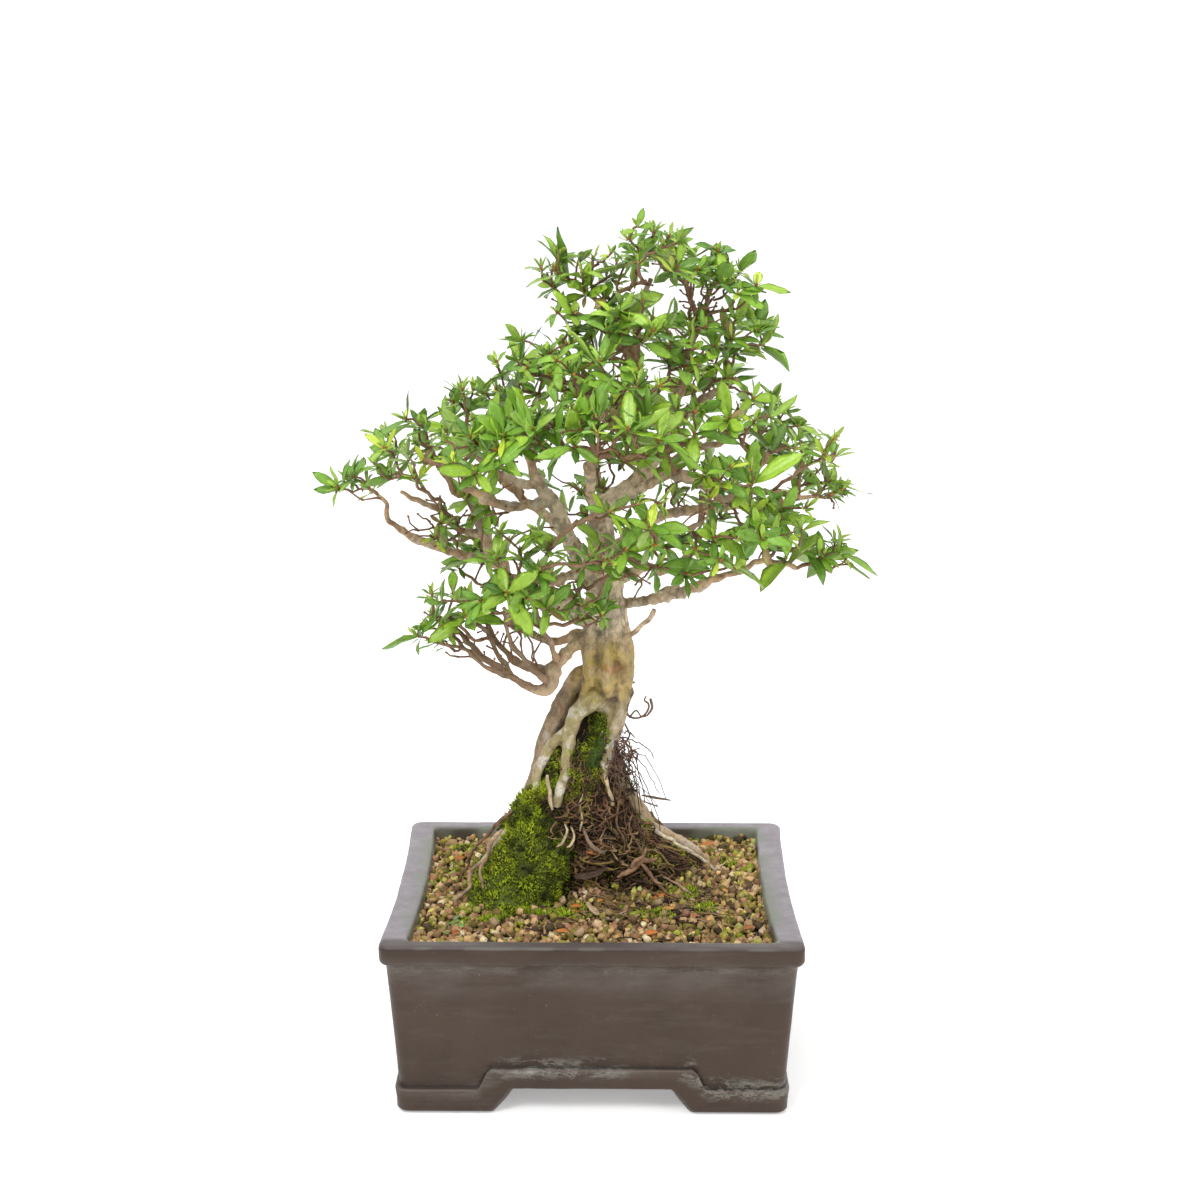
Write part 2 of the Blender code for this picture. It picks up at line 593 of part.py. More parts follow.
def make_ground(parts, cutters, cavity, woody_tubes):
    """Soil, root ball and moss bank, each with a socket for whatever stands in it."""
    sockets = new_collection("root_sockets", cutters)
    for tube in tubes_to_meshes(woody_tubes, sockets, grow=GAP + 0.1):
        as_cutter(tube)

    ball = add_object("root_ball", loft("root_ball", root_ball_rings()), parts, make_material("root_ball"))
    boolean(ball, "DIFFERENCE", collection=sockets)

    low, high = cavity[0], cavity[1]
    share = (SOIL_TOP - FLOOR_TOP) / (high[0][2] - low[0][2])
    shrink = 1 - (GAP + 0.15) / 80
    bottom = [(x * shrink, y * shrink, FLOOR_TOP + GAP) for x, y, _ in low]
    top = [((a[0] + (b[0] - a[0]) * share) * shrink, (a[1] + (b[1] - a[1]) * share) * shrink, SOIL_TOP)
           for a, b in zip(low, high)]
    rng = np.random.default_rng(SOIL_SEED)
    rings = [bottom, top]
    for inward, rise in ((0.93, 0.8), (0.84, 1.0), (0.72, 1.4)):
        lift = rng.uniform(-SOIL_RIPPLE, SOIL_RIPPLE, len(top)) * 0.5
        rings.append([(x * inward, y * inward, SOIL_TOP + rise + d) for (x, y, _), d in zip(top, lift)])
    soil = add_object("soil", loft("soil", rings), parts, make_material("soil"))
    fittings = new_collection("soil_sockets", cutters)
    as_cutter(add_object("ball_socket", loft("ball_socket", root_ball_rings(grow=1.2)), fittings))
    half = MESH_SIDE / 2 + GAP
    roof = FLOOR_TOP + MESH_THICKNESS + 2 * WIRE_RADIUS + 4 * GAP
    for sign in (-1, 1):
        x = sign * DRAIN_X
        as_cutter(box("cover_room", (x - half, -half, FLOOR_TOP - 1), (x + half, half, roof), fittings))
    boolean(soil, "DIFFERENCE", collection=fittings)
    boolean(soil, "DIFFERENCE", collection=sockets)

    rings = [ellipse_ring(*row, 14) for row in MOSS_BANK]
    moss = add_object("moss_bank", loft("moss_bank", rings), parts, make_material("moss"))
    wall = as_cutter(add_object("moss_wall", loft("moss_wall", root_ball_rings(grow=0.8)), cutters))
    under = as_cutter(box("moss_under", (-130, -110, 60), (130, 110, SOIL_TOP + 2.6), cutters))
    boolean(moss, "DIFFERENCE", wall)
    boolean(moss, "DIFFERENCE", under)
    boolean(moss, "DIFFERENCE", collection=sockets)


def make_chips(parts):
    for name, (centre, half, turn) in BARK_CHIPS.items():
        bpy.ops.mesh.primitive_uv_sphere_add(segments=10, ring_count=6, radius=1)
        chip = bpy.context.object
        chip.name = name
        angle = math.radians(turn)
        for vertex in chip.data.vertices:
            x, y, z = (c * h for c, h in zip(vertex.co, half))
            z += 0.9 * math.sin(x * 0.3)
            vertex.co = Vector((
                centre[0] + x * math.cos(angle) - y * math.sin(angle),
                centre[1] + x * math.sin(angle) + y * math.cos(angle),
                centre[2] + z,
            )) * MM
        chip.data.materials.append(make_material("chip"))
        move_to(chip, parts)


def ball_point(height, azimuth):
    """A point on the root ball's surface at a height and azimuth."""
    table = np.array(ROOT_BALL, float)
    x, y, radius_x, radius_y = (np.interp(height, table[:, 0], table[:, k]) for k in range(1, 5))
    angle = math.radians(azimuth)
    return x + radius_x * math.cos(angle), y + radius_y * math.sin(angle)


def woody_parts():
    """Every root and limb as {name: (points with radii, bevel resolution)}."""
    tubes = {f"root_{name}": (points, 2 if points[0][3] > 7 else 1) for name, points in ROOTS.items()}
    for name, rows in BACK_ROOTS.items():
        points = [(*ball_point(z, azimuth), z, radius) for z, azimuth, radius in rows]
        tubes[f"root_{name}"] = (points, 1)
    roots = dict(tubes)
    tubes.update({
        f"limb_{name}": (points, 2 if points[0][3] > 5.5 else 1) for name, points in LIMBS.items()
    })
    return roots, tubes


def make_trunk(parts, cutters, tubes):
    trunk = tubes_to_meshes({"trunk": (TRUNK, 3)}, parts)[0]
    trunk.data.materials.append(make_material("bark"))
    grown = new_collection("roots_and_limbs", cutters)
    for tube in tubes_to_meshes(tubes, grown):
        as_cutter(tube)
    boolean(trunk, "UNION", collection=grown)
    return trunk


def tree_and_discard(mesh):
    tree = tree_of(mesh)
    bpy.data.meshes.remove(mesh)
    return tree


def tree_of(mesh):
    points = [vertex.co.copy() for vertex in mesh.vertices]
    return BVHTree.FromPolygons(points, [tuple(p.vertices) for p in mesh.polygons])


def sprig_mesh(name, start, centre, axis, spin, lengths, tilts, grow=0.0, with_twig=True):
    """A twig that ends in a whorl of leaves, as one closed body, or the whorl alone.

    The twig has one side for each leaf. Each leaf is a lozenge that runs from the twig's end to its
    tip: from below it hangs on its own corner of the twig, from above on the middle of the whorl.
    """
    side = axis.orthogonal().normalized()
    across = axis.cross(side)
    way = (centre - start).normalized()
    step = 2 * math.pi / len(lengths)

    def ray(turn):
        return math.cos(turn) * side + math.sin(turn) * across

    foot, neck, ring = [], [], []
    for k, (length, tilt) in enumerate(zip(lengths, tilts)):
        around = spin + k * step
        out, sideways = ray(around), ray(around + math.pi / 2)
        lift = math.radians(tilt)
        middle = centre + 0.48 * length * (math.cos(lift) * out + math.sin(lift) * axis)
        tip = centre + (length + grow) * (
            math.cos(lift * 0.8) * out + math.sin(lift * 0.8) * axis
        )
        half = 0.5 * LEAF_WIDTH_SHARE * length + grow
        flat = (out - out.dot(way) * way).normalized()
        foot.append(start + (TWIG_RADIUS[0] + grow) * flat)
        neck.append(centre - axis * (HUB_HEIGHT + grow) + (TWIG_RADIUS[1] + grow) * out)
        ring += [
            centre + (HUB_RADIUS + grow) * ray(around - step / 2),
            middle - half * sideways, tip, middle + half * sideways,
        ]
    count = len(lengths)
    first_neck, first_ring, top = count, 2 * count, 6 * count
    faces = [tuple(range(count)) if with_twig else tuple(range(first_neck, first_ring))]
    for k in range(count):
        following = (k + 1) % count
        neck_here, neck_next = first_neck + k, first_neck + following
        valley, left, tip, right = range(first_ring + 4 * k, first_ring + 4 * k + 4)
        valley_next = first_ring + 4 * following
        if with_twig:
            faces.append((k, following, neck_next, neck_here))
        faces += [(neck_here, left, valley), (neck_here, tip, left), (neck_here, right, tip)]
        faces += [(neck_here, valley_next, right), (neck_here, neck_next, valley_next)]
        faces += [(top, valley, left), (top, left, tip), (top, tip, right), (top, right, valley_next)]
    points = foot + neck + ring + [centre + axis * (HUB_HEIGHT + grow)]
    if not with_twig:
        points = points[first_neck:]
        faces = [tuple(k - first_neck for k in face) for face in faces]
    return join_mesh(name, points, faces)


class Crown:
    """Routes the stems, then grows the leafy shoots, keeping each clear of the wood and the others."""

    def __init__(self, wood_points, wood_trees, bare_wood):
        self.wood_points = wood_points
        self.wood = wood_trees
        self.bare_wood = bare_wood
        self.taken = []  # (name of the shoot, middle, reach, tree) of each stem and sprig so far

    def is_free(self, tree, middle, reach, own=None, by_wood=True):
        if by_wood and any(tree.overlap(other) for other in self.wood):
            return False
        return not any(
            name != own and (place - middle).length < reach + extent and tree.overlap(other)
            for name, place, extent, other in self.taken
        )

    def limb_points(self, target):
        """Limb points that a stem to this target can leave from, the lower and inner ones first."""
        def cost(entry):
            point = entry[0]
            length = (target - point).length
            below = max(0.0, point.z - target.z + 6)
            outside = max(0.0, point.xy.length - target.xy.length)
            cramped = max(0.0, SHORTEST_STEM - length)
            return length + 1.2 * below + 0.4 * outside + 3 * cramped
        return sorted(self.wood_points, key=cost)

    def route_stem(self, name, rng):
        """Runs the stem of one shoot from a limb to the lower middle of its pad."""
        centre, half, _ = FOLIAGE[name]
        centre = Vector(centre)
        for point, radius in self.limb_points(centre)[:STEM_BASES_TRIED]:
            away = (centre - point).normalized()
            base = point + away * (radius + STEM_START)
            heart = base.lerp(centre, 0.8) - Vector((0, 0, 0.25 * half[2]))
            bend = base.lerp(heart, 0.5) + Vector((rng.uniform(-2, 2), rng.uniform(-2, 2), -1.5))
            tree = stem_room(base, bend, heart)
            middle, reach = (base + heart) / 2 * MM, (heart - base).length / 2 * MM + 0.004
            if self.is_free(tree, middle, reach):
                base = self.seat(base, -away, bend)
                tree = stem_room(base, bend, heart)
                if self.is_free(tree, middle, reach + 0.004, by_wood=False):
                    self.taken.append((name, middle, reach + 0.004, tree))
                    return base, bend, heart
        raise ValueError(f"no free way for the stem of {name}")

    def seat(self, base, back, bend):
        """Moves the foot of a stem back until it stands a small gap off its limb."""
        for step in range(math.ceil(STEM_START * 2.7 / SEAT_STEP)):
            foot = base + back * (SEAT_STEP * step)
            over = (foot - bend).normalized() * GAP
            trial = cone_mesh("trial", foot + over, bend, STEM_RADIUS[0] + GAP, STEM_RADIUS[0])
            tree = tree_and_discard(trial)
            if any(tree.overlap(wood) for wood in self.bare_wood):
                return base + back * (SEAT_STEP * (step - 1))
        raise ValueError("a stem does not reach its limb")


def stem_room(base, bend, heart):
    """The stem with some room round it, for telling whether anything is in its way."""
    return tree_and_discard(loft("trial", [
        bar_ring(base, bend - base, STEM_RADIUS[0] + CLEARANCE),
        bar_ring(bend, heart - base, STEM_RADIUS[0] + CLEARANCE),
        bar_ring(heart, heart - bend, STEM_RADIUS[1] + CLEARANCE),
    ]))


def bar_ring(centre, way, radius, sides=6):
    axis = way.normalized()
    side = axis.orthogonal().normalized()
    across = axis.cross(side)
    turns = np.linspace(0, 2 * math.pi, sides, endpoint=False).tolist()
    return [centre + radius * (math.cos(t) * side + math.sin(t) * across) for t in turns]


def cone_mesh(name, start, end, radius_start, radius_end):
    """A straight tapered bar between two points in millimetres."""
    return loft(name, [bar_ring(start, end - start, radius_start), bar_ring(end, end - start, radius_end)])


def sample_pad(rng, centre, half, count):
    """Whorl places inside a pad, apart from each other and more of them in its upper half."""
    places = []
    spacing = WHORL_SPACING
    while len(places) < count:
        direction = Vector(rng.normal(size=3)).normalized()
        depth = rng.uniform(0.55, 1.0)
        if direction.z < -0.3 and rng.uniform() < 0.6:
            continue
        place = centre + Vector([d * h for d, h in zip(direction, half)]) * depth
        if all((place - other).length > spacing for other in places):
            places.append(place)
        else:
            spacing *= 0.985
    return places


def within_crown(mesh):
    low, high = CROWN_BOX
    return all(
        a <= value / MM <= b for vertex in mesh.vertices for a, value, b in zip(low, vertex.co, high)
    )


def grow_shoot(name, route, rng, crown, cutters):
    """Plans the sprigs of one shoot as meshes in a collection of their own."""
    centre, half, count = FOLIAGE[name]
    base, bend, heart = route
    nodes = [bend, heart]
    joined = new_collection(f"sprigs_{name}", cutters)
    own = []
    made = 0
    places = sorted(sample_pad(rng, Vector(centre), half, count), key=lambda place: (place - base).length)
    for place in places:
        origin = min(nodes, key=lambda node: (place - node).length + 4 * max(0, node.z - place.z))
        for attempt in range(TRIES):
            turn = attempt % TRIES_APART
            shrink = 1 - SHRINK_PER_TRY * turn
            moved = place + Vector(rng.normal(size=3)) * (SHIFT_PER_TRY * turn)
            way = (moved - origin).normalized()
            start = origin - way * STEM_RADIUS[1]  # so that the twig's foot lies inside the stem
            axis = (way * 0.8 + Vector((0, 0, 0.7)) + Vector(rng.normal(size=3)) * 0.18).normalized()
            spin = rng.uniform(0, 2 * math.pi)
            lengths = (rng.uniform(*LEAF_LENGTH, LEAVES_PER_WHORL) * shrink).tolist()
            tilts = rng.uniform(*LEAF_TILT, LEAVES_PER_WHORL).tolist()
            shape = (start, moved, axis, spin, lengths, tilts)
            piece = sprig_mesh(f"sprig_{name}_{made}", *shape)
            if not within_crown(piece):
                bpy.data.meshes.remove(piece)
                continue
            whole, leaves, grown = (
                tree_and_discard(sprig_mesh("trial", *shape, grow=grow, with_twig=with_twig))
                for grow, with_twig in ((HAIR, True), (HAIR, False), (CLEARANCE, True))
            )
            middle = (start + moved) / 2 * MM
            reach = (moved - start).length / 2 * MM + max(lengths) * MM
            crossing = any(
                leaves.overlap(other_whole) or whole.overlap(other_leaves)
                for other_whole, other_leaves in own
            )
            # Leaves that cross within a shoot only cost faces, so the late attempts allow it.
            if (attempt >= TRIES_APART or not crossing) and crown.is_free(grown, middle, reach, own=name):
                break
            bpy.data.meshes.remove(piece)
        else:
            continue
        own.append((whole, leaves))
        crown.taken.append((name, middle, reach, grown))
        as_cutter(add_object(piece.name, piece, joined))
        nodes += [start.lerp(moved, 0.3), start.lerp(moved, 0.6)]
        made += 1
    return joined


def make_shoots(parts, cutters, woody):
    wood_points = []
    for rows, _ in woody.values():
        for (a, b) in zip(rows, rows[1:]):
            for share in (0.0, 0.5):
                mixed = [p + (q - p) * share for p, q in zip(a, b)]
                wood_points.append((Vector(mixed[:3]), mixed[3]))
        wood_points.append((Vector(rows[-1][:3]), rows[-1][3]))
    room = new_collection("wood_room", cutters)
    wood = {**woody, "trunk_room": (TRUNK, 3)}
    grown, bare = (tubes_to_meshes(wood, room, grow=grow) for grow in (CLEARANCE, 0.0))
    crown = Crown(wood_points, *([tree_of(tube.data) for tube in tubes] for tubes in (grown, bare)))
    for tube in grown + bare:
        as_cutter(tube)
    seeds = {name: np.random.default_rng(FIRST_SHOOT_SEED + index) for index, name in enumerate(FOLIAGE)}
    routes = {name: crown.route_stem(name, seeds[name]) for name in FOLIAGE}
    stems = {
        f"shoot_{name}": (
            [(*base, STEM_RADIUS[0]), (*bend, sum(STEM_RADIUS) / 2), (*heart, STEM_RADIUS[1])], 0)
        for name, (base, bend, heart) in routes.items()
    }
    material = make_material("leaf")
    for name, shoot in zip(FOLIAGE, tubes_to_meshes(stems, parts)):
        joined = grow_shoot(name, routes[name], seeds[name], crown, cutters)
        shoot.data.materials.append(material)
        # EXACT loses the leaves of some shoots, whose blades are very thin.
        boolean(shoot, "UNION", collection=joined, solver="MANIFOLD")


def main():
    clear_scene()
    parts = new_collection("satsuki_azalea_bonsai")
    cutters = new_collection("cutters")
    roots, woody = woody_parts()
    limbs = {name: tube for name, tube in woody.items() if name not in roots}
    make_shoots(parts, cutters, limbs)
    cavity = make_pot(parts, cutters)
    for side, sign in (("left", -1), ("right", 1)):
        make_drain_cover(side, sign, parts, cutters)
    make_ground(parts, cutters, cavity, {**roots, "trunk_socket": (TRUNK[:3], 4)})
    make_chips(parts)
    make_trunk(parts, cutters, woody)
    add_booleans()


main()
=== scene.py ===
"""Satsuki azalea bonsai in a footed rectangular pot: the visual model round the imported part.

Tables and formulas are in millimetres with +Z up and the origin on the ground under the pot's
middle. Mesh.build turns them into metres.
"""

import math

import bpy
import numpy as np
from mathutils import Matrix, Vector


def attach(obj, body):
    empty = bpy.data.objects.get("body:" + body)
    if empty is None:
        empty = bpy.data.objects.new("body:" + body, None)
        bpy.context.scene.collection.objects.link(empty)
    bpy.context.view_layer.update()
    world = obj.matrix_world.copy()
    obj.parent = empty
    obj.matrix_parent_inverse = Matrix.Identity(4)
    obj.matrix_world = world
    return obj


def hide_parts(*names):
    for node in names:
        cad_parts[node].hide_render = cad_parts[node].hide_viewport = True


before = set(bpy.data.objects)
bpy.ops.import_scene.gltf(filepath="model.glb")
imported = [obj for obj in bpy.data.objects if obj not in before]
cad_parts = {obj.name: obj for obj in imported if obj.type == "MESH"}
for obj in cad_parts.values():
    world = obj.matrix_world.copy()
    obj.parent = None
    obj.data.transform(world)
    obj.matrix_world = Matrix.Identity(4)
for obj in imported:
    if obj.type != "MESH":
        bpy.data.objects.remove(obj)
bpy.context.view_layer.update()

MM = 0.001

# The pot
POT_HALF = (125.0, 100.0)
POT_HEIGHT = 112.0
LIP_LOW = 98.6
LIP_OVERHANG = 3.6
FOOT_HALF = (114.6, 89.6)
FOOT_WALL = 13.0
CORNER_RADIUS = 7.0
SIDE_BOW = 3.0
RIM_SIDE = 16.0
RIM_FRONT = 10.0
FLOOR_UNDERSIDE = 15.9
FLOOR_TOP = 24.0
ARCH_TOP = 15.7
ARCH_HALF = (59.6, 46.6)
ARCH_SLANT = 12.0
BAND_PROUD = 2.6
BAND_LOW = 16.5
BAND_HIGH = 30.5
DRAIN_RADIUS = 11.0
DRAIN_X = 50.0
SOIL_TOP = 104.6

# Root ball, moss bank and the moss between the front roots: height, centre x, centre y, half width x,
# half width y
ROOT_BALL = [
    (90, 8, 26, 72, 38), (101, 8, 26, 70, 36), (106, 7.5, 25, 65.5, 33), (112, 7, 24, 62, 31),
    (122, 4, 22, 56, 29), (130, -1, 20, 49, 27), (140, -7, 18, 41, 25), (152, -9.5, 17, 36.5, 24),
    (172, -10, 16, 29, 21), (190, -8, 15, 22.5, 19), (203, -3.5, 15, 16, 16), (213, 0, 15, 9.5, 11),
]
MOSS_BANK = [
    (102, -54, -9, 31, 32), (105, -52.5, -8, 30, 30), (110, -50, -6, 29, 28), (117, -46, -4, 27.5, 25.5),
    (126, -42, -1, 25.5, 23), (140, -36.5, 2, 22, 19), (156, -32, 5, 17, 14), (168, -30, 7, 12, 10),
    (176, -28, 8, 6, 6),
]
MOSS_TONGUE = [
    (158, -10, 2, 4, 4), (166, -9, 1, 6, 5.5), (178, -6.5, 1, 7.5, 6.5), (192, -2.5, 2.5, 8, 6.5),
    (204, 2, 5, 8.5, 6.5), (213, 4, 7, 7.5, 6), (219, 5, 8, 5, 4), (222, 5, 9, 2, 2),
]

# Woody parts, each a run of points: x, y, z and radius
TRUNK = [
    (8.5, 16, 220, 10.5), (9.5, 15, 232, 13.5), (9.5, 15, 248, 15.6), (8, 15, 262, 15.8), (8, 15, 277, 13.5),
    (7, 15, 292, 12), (7, 15, 308, 10.5), (5, 15, 325, 8.8), (4, 15, 342, 7.4), (11, 12, 354, 6.4),
    (24, 11, 363, 5.6), (33, 13, 375, 4.8), (37, 15, 387, 4.2), (40, 16, 392, 3.4),
]
ROOTS = {
    "left_leg": [
        (2, 15, 244, 8), (-7, 15, 241, 7.5), (-15, 14, 233, 7), (-21, 13, 221, 6.5), (-28, 12, 204, 5.5),
        (-34, 11, 188, 4.5), (-39, 10, 174, 3.5), (-42, 10, 158, 2.8),
    ],
    "front_loop": [
        (8, 8, 232, 6), (-4, 2, 228, 6), (-11, 1, 221, 5.8), (-15, 0, 211, 5.2), (-15, -1, 202, 4.6),
        (-17, -3, 193, 4), (-18, -4, 183, 3.6), (-21, -6, 174, 3.2), (-23, -7, 164, 2.4),
    ],
    "front_left": [
        (-15, 1, 212, 4.2), (-24, 3, 203, 4), (-31, 4, 192, 3.4), (-35, 4, 181, 2.8), (-36, 2, 171, 2),
    ],
    "small_column": [(0, 10, 245, 5), (-5, 6, 235, 4.4), (-9, 4, 226, 3.6)],
    "right_leg": [
        (12, 13, 240, 11.5), (13.5, 12, 226, 9.6), (11, 9, 212, 7.8), (8.5, 6, 200, 6), (7, 3, 189, 4.4),
        (6, 0, 180, 2.6),
    ],
    "right_runner": [
        (8, 3, 189, 2.6), (15, 5, 178, 3), (24, 8, 165, 3.6), (30, 13, 153, 3.8), (35, 18, 143, 3.6),
        (41, 23, 137, 3.2), (49, 26, 132, 3.2), (59, 30, 124, 3), (68, 34, 116, 2.6), (74, 38, 108, 2.2),
        (77, 41, 99, 1.6),
    ],
    "left_runner": [
        (-38, 8, 160, 2.6), (-47, 5, 151, 2.6), (-55, 2, 144, 2.6), (-62, 0, 135, 2.6),
        (-68, -1, 126, 2.4), (-73, -2, 115, 2), (-77, -3, 99, 1.4),
    ],
    "back_left": [
        (-4, 22, 232, 8), (-13, 29, 210, 6.5), (-22, 31, 190, 5.2), (-28, 33, 165, 4.2), (-35, 36, 138, 3.4),
        (-38, 43, 115, 2.6), (-43, 48, 99, 1.8),
    ],
    "back_middle": [
        (1, 26, 230, 8), (0, 31, 205, 6), (-6, 34, 180, 4.6), (-5, 40, 150, 3.6), (7, 50, 122, 2.6),
        (10, 57, 99, 1.8),
    ],
    "back_right": [
        (9, 24, 232, 9), (10, 27, 210, 7), (11, 30, 188, 5.5), (13, 33, 162, 4.4), (28, 41, 135, 3.4),
        (50, 46, 112, 2.6), (57, 50, 99, 1.8),
    ],
}
LIMBS = {
    "right_diagonal": [
        (37, 15, 386, 4), (46, 17, 396, 3.6), (59, 19, 408, 2.9), (72, 17, 418, 2.3), (85, 15, 427, 1.6),
    ],
    "leader": [
        (36, 15, 381, 3.8), (29, 13, 397, 3.2), (28, 11, 415, 2.8), (27, 11, 432, 2.5), (24, 11, 448, 2.2),
        (27, 13, 468, 1.8), (33, 15, 486, 1.3),
    ],
    "apex_right": [
        (44, 17, 394, 3.2), (49, 21, 411, 2.8), (54, 21, 429, 2.5), (58, 19, 447, 2.3), (66, 17, 466, 2),
        (70, 15, 482, 1.3),
    ],
    "left_main": [
        (4, 16, 276, 8), (-15, 25, 281, 6.4), (-34, 29, 286, 5.4), (-50, 31, 296, 5), (-62, 31, 313, 4.6),
        (-68, 29, 330, 4), (-72, 27, 343, 3.4), (-78, 25, 357, 2.6), (-80, 23, 373, 1.9),
    ],
    "left_long": [
        (-64, 31, 314, 2.9), (-82, 27, 316, 2.7), (-100, 23, 324, 2.4), (-114, 19, 331, 1.9),
        (-124, 17, 339, 1.5), (-126, 15, 350, 1.2), (-133, 15, 358, 0.9),
    ],
    "left_spread": [
        (-68, 29, 328, 2.9), (-82, 25, 333, 2.5), (-93, 21, 345, 2),
        (-109, 17, 352, 1.6), (-117, 15, 359, 1.1),
    ],
    "left_second": [
        (5, 13, 296, 6.5), (-9, 3, 319, 5.8), (-18, -1, 339, 5.2), (-24, -3, 356, 4.6), (-33, -5, 368, 3.8),
        (-37, -7, 383, 3), (-38, -7, 400, 2.3), (-43, -5, 416, 1.6),
    ],
    "left_second_low": [
        (-25, -3, 358, 3.4), (-41, -7, 355, 3), (-53, -10, 355, 2.6),
        (-66, -12, 361, 2.1), (-79, -12, 366, 1.5),
    ],
    "left_second_high": [
        (-32, -5, 367, 3.2), (-44, -1, 367, 3), (-58, 4, 371, 2.5), (-65, 5, 377, 2), (-71, 5, 387, 1.6),
        (-76, 7, 400, 1.2),
    ],
    "left_low": [
        (2, 12, 273, 6.5), (-13, 1, 264, 5.0), (-22, -5, 254, 4.6), (-28, -9, 242, 4.6), (-40, -11, 243, 2.7),
        (-54, -12, 253, 2.3), (-69, -11, 265, 1.9), (-81, -9, 275, 1.5), (-91, -7, 284, 1.1),
    ],
    "left_low_fork_a": [
        (-38, -11, 243, 1.9), (-48, -16, 249, 1.5), (-62, -20, 256, 1.3), (-74, -20, 266, 1.1),
        (-88, -22, 274, 0.8),
    ],
    "left_low_fork_b": [
        (-50, -12, 251, 1.7), (-58, -10, 263, 1.4), (-64, -12, 276, 1.2), (-74, -10, 288, 0.8),
    ],
    "left_low_fork_c": [
        (-27, -9, 246, 2.2), (-36, -15, 254, 1.7), (-43, -20, 266, 1.4), (-50, -26, 280, 1.2),
        (-54, -32, 296, 0.9),
    ],
    "left_low_fork_d": [
        (-20, -4, 257, 2.3), (-26, -14, 270, 1.7), (-32, -22, 284, 1.4), (-36, -30, 300, 1.0),
    ],
    "left_low_fork_e": [
        (-66, -11, 262, 1.5), (-78, -4, 266, 1.2), (-88, 2, 276, 1.0), (-98, 4, 282, 0.8),
    ],
    "left_low_inner": [
        (-26, -7, 249, 2.8), (-41, -3, 254, 2.2), (-54, 1, 262, 1.8), (-61, 3, 272, 1.4), (-66, 5, 284, 1.0),
    ],
    "left_middle": [
        (0, 20, 268, 4.4), (-20, 27, 261, 3.2), (-31, 31, 260, 2.8), (-40, 33, 263, 2.4), (-51, 35, 268, 2),
        (-58, 35, 280, 1.3),
    ],
    "cut_stub": [
        (12, 8, 268, 2.6), (20, -1, 272, 1.7), (29, -5, 280, 1.5), (34, -7, 285, 1.6), (37, -8, 290, 1.2),
    ],
    "right_low": [
        (10, 14, 290, 4.6), (31, 9, 291, 3), (44, 5, 295, 3), (55, 2, 300, 3.4), (67, 0, 304, 3.2),
        (76, -1, 308, 2.2), (88, -1, 314, 1.9), (98, 0, 319, 1.7), (110, 2, 319, 1.5), (122, 3, 315, 1.2),
    ],
    "right_second": [
        (9, 19, 299, 4.6), (26, 29, 305, 3.6), (35, 35, 306, 3.1), (41, 39, 302, 2.7), (51, 43, 306, 2.2),
        (60, 45, 311, 1.6),
    ],
    "right_third": [
        (6, 17, 309, 6), (17, 25, 323, 5.2), (26, 31, 332, 4.4), (36, 36, 337, 3.6), (51, 41, 341, 3),
        (68, 45, 341, 2.5), (87, 47, 343, 2), (104, 47, 343, 1.5),
    ],
    "right_fourth": [
        (14, 12, 356, 4), (34, 1, 367, 3.2), (48, -5, 373, 2.7), (63, -9, 368, 2.5), (77, -11, 361, 2.3),
        (90, -11, 365, 2), (97, -9, 375, 1.7), (102, -7, 387, 1.3),
    ],
    "right_outer": [(88, -11, 365, 1.9), (106, -3, 362, 1.6), (122, 5, 358, 1.3), (136, 11, 356, 1)],
    "upper_left": [
        (33, 14, 380, 3.4), (15, 7, 398, 2.8), (4, 3, 410, 2.4), (-8, 0, 421, 2), (-18, -1, 429, 1.5),
    ],
    "upper_middle": [(28, 11, 421, 2.6), (20, 5, 441, 2.1), (12, 4, 448, 1.5)],
    "apex_left": [
        (26, 11, 434, 2.1), (18, 13, 452, 1.8), (8, 16, 467, 1.5), (-6, 20, 480, 1),
    ],
    "front_centre": [
        (4, 13, 340, 4.4), (0, -5, 359, 3.2), (-2, -22, 374, 2.6), (0, -40, 386, 2), (3, -56, 394, 1.4),
    ],
    "front_right": [
        (7, 12, 322, 4.6), (18, -10, 334, 3.4), (32, -26, 340, 2.8), (50, -36, 346, 2.2), (62, -42, 352, 1.4),
    ],
    "front_left": [
        (3, 12, 308, 4.4), (-12, -14, 314, 3.4), (-24, -32, 314, 2.8),
        (-36, -42, 318, 2.2), (-46, -50, 322, 1.4),
    ],
    "back_left": [
        (2, 18, 312, 5.4), (-14, 38, 322, 4.2), (-32, 52, 336, 3.4), (-52, 60, 352, 2.6), (-68, 64, 364, 1.8),
    ],
    "back_low": [
        (4, 18, 284, 5), (-8, 38, 282, 3.6), (-22, 52, 280, 2.8),
        (-42, 58, 286, 2.2), (-58, 60, 292, 1.5),
    ],
    "back_centre": [
        (5, 18, 333, 4.8), (4, 40, 346, 3.8), (2, 60, 358, 3),
        (0, 76, 370, 2.2), (-2, 86, 378, 1.5),
    ],
    "back_right": [
        (5, 18, 344, 4.6), (22, 38, 352, 3.8), (42, 50, 364, 3), (62, 58, 376, 2.4), (84, 60, 384, 1.7),
    ],
}

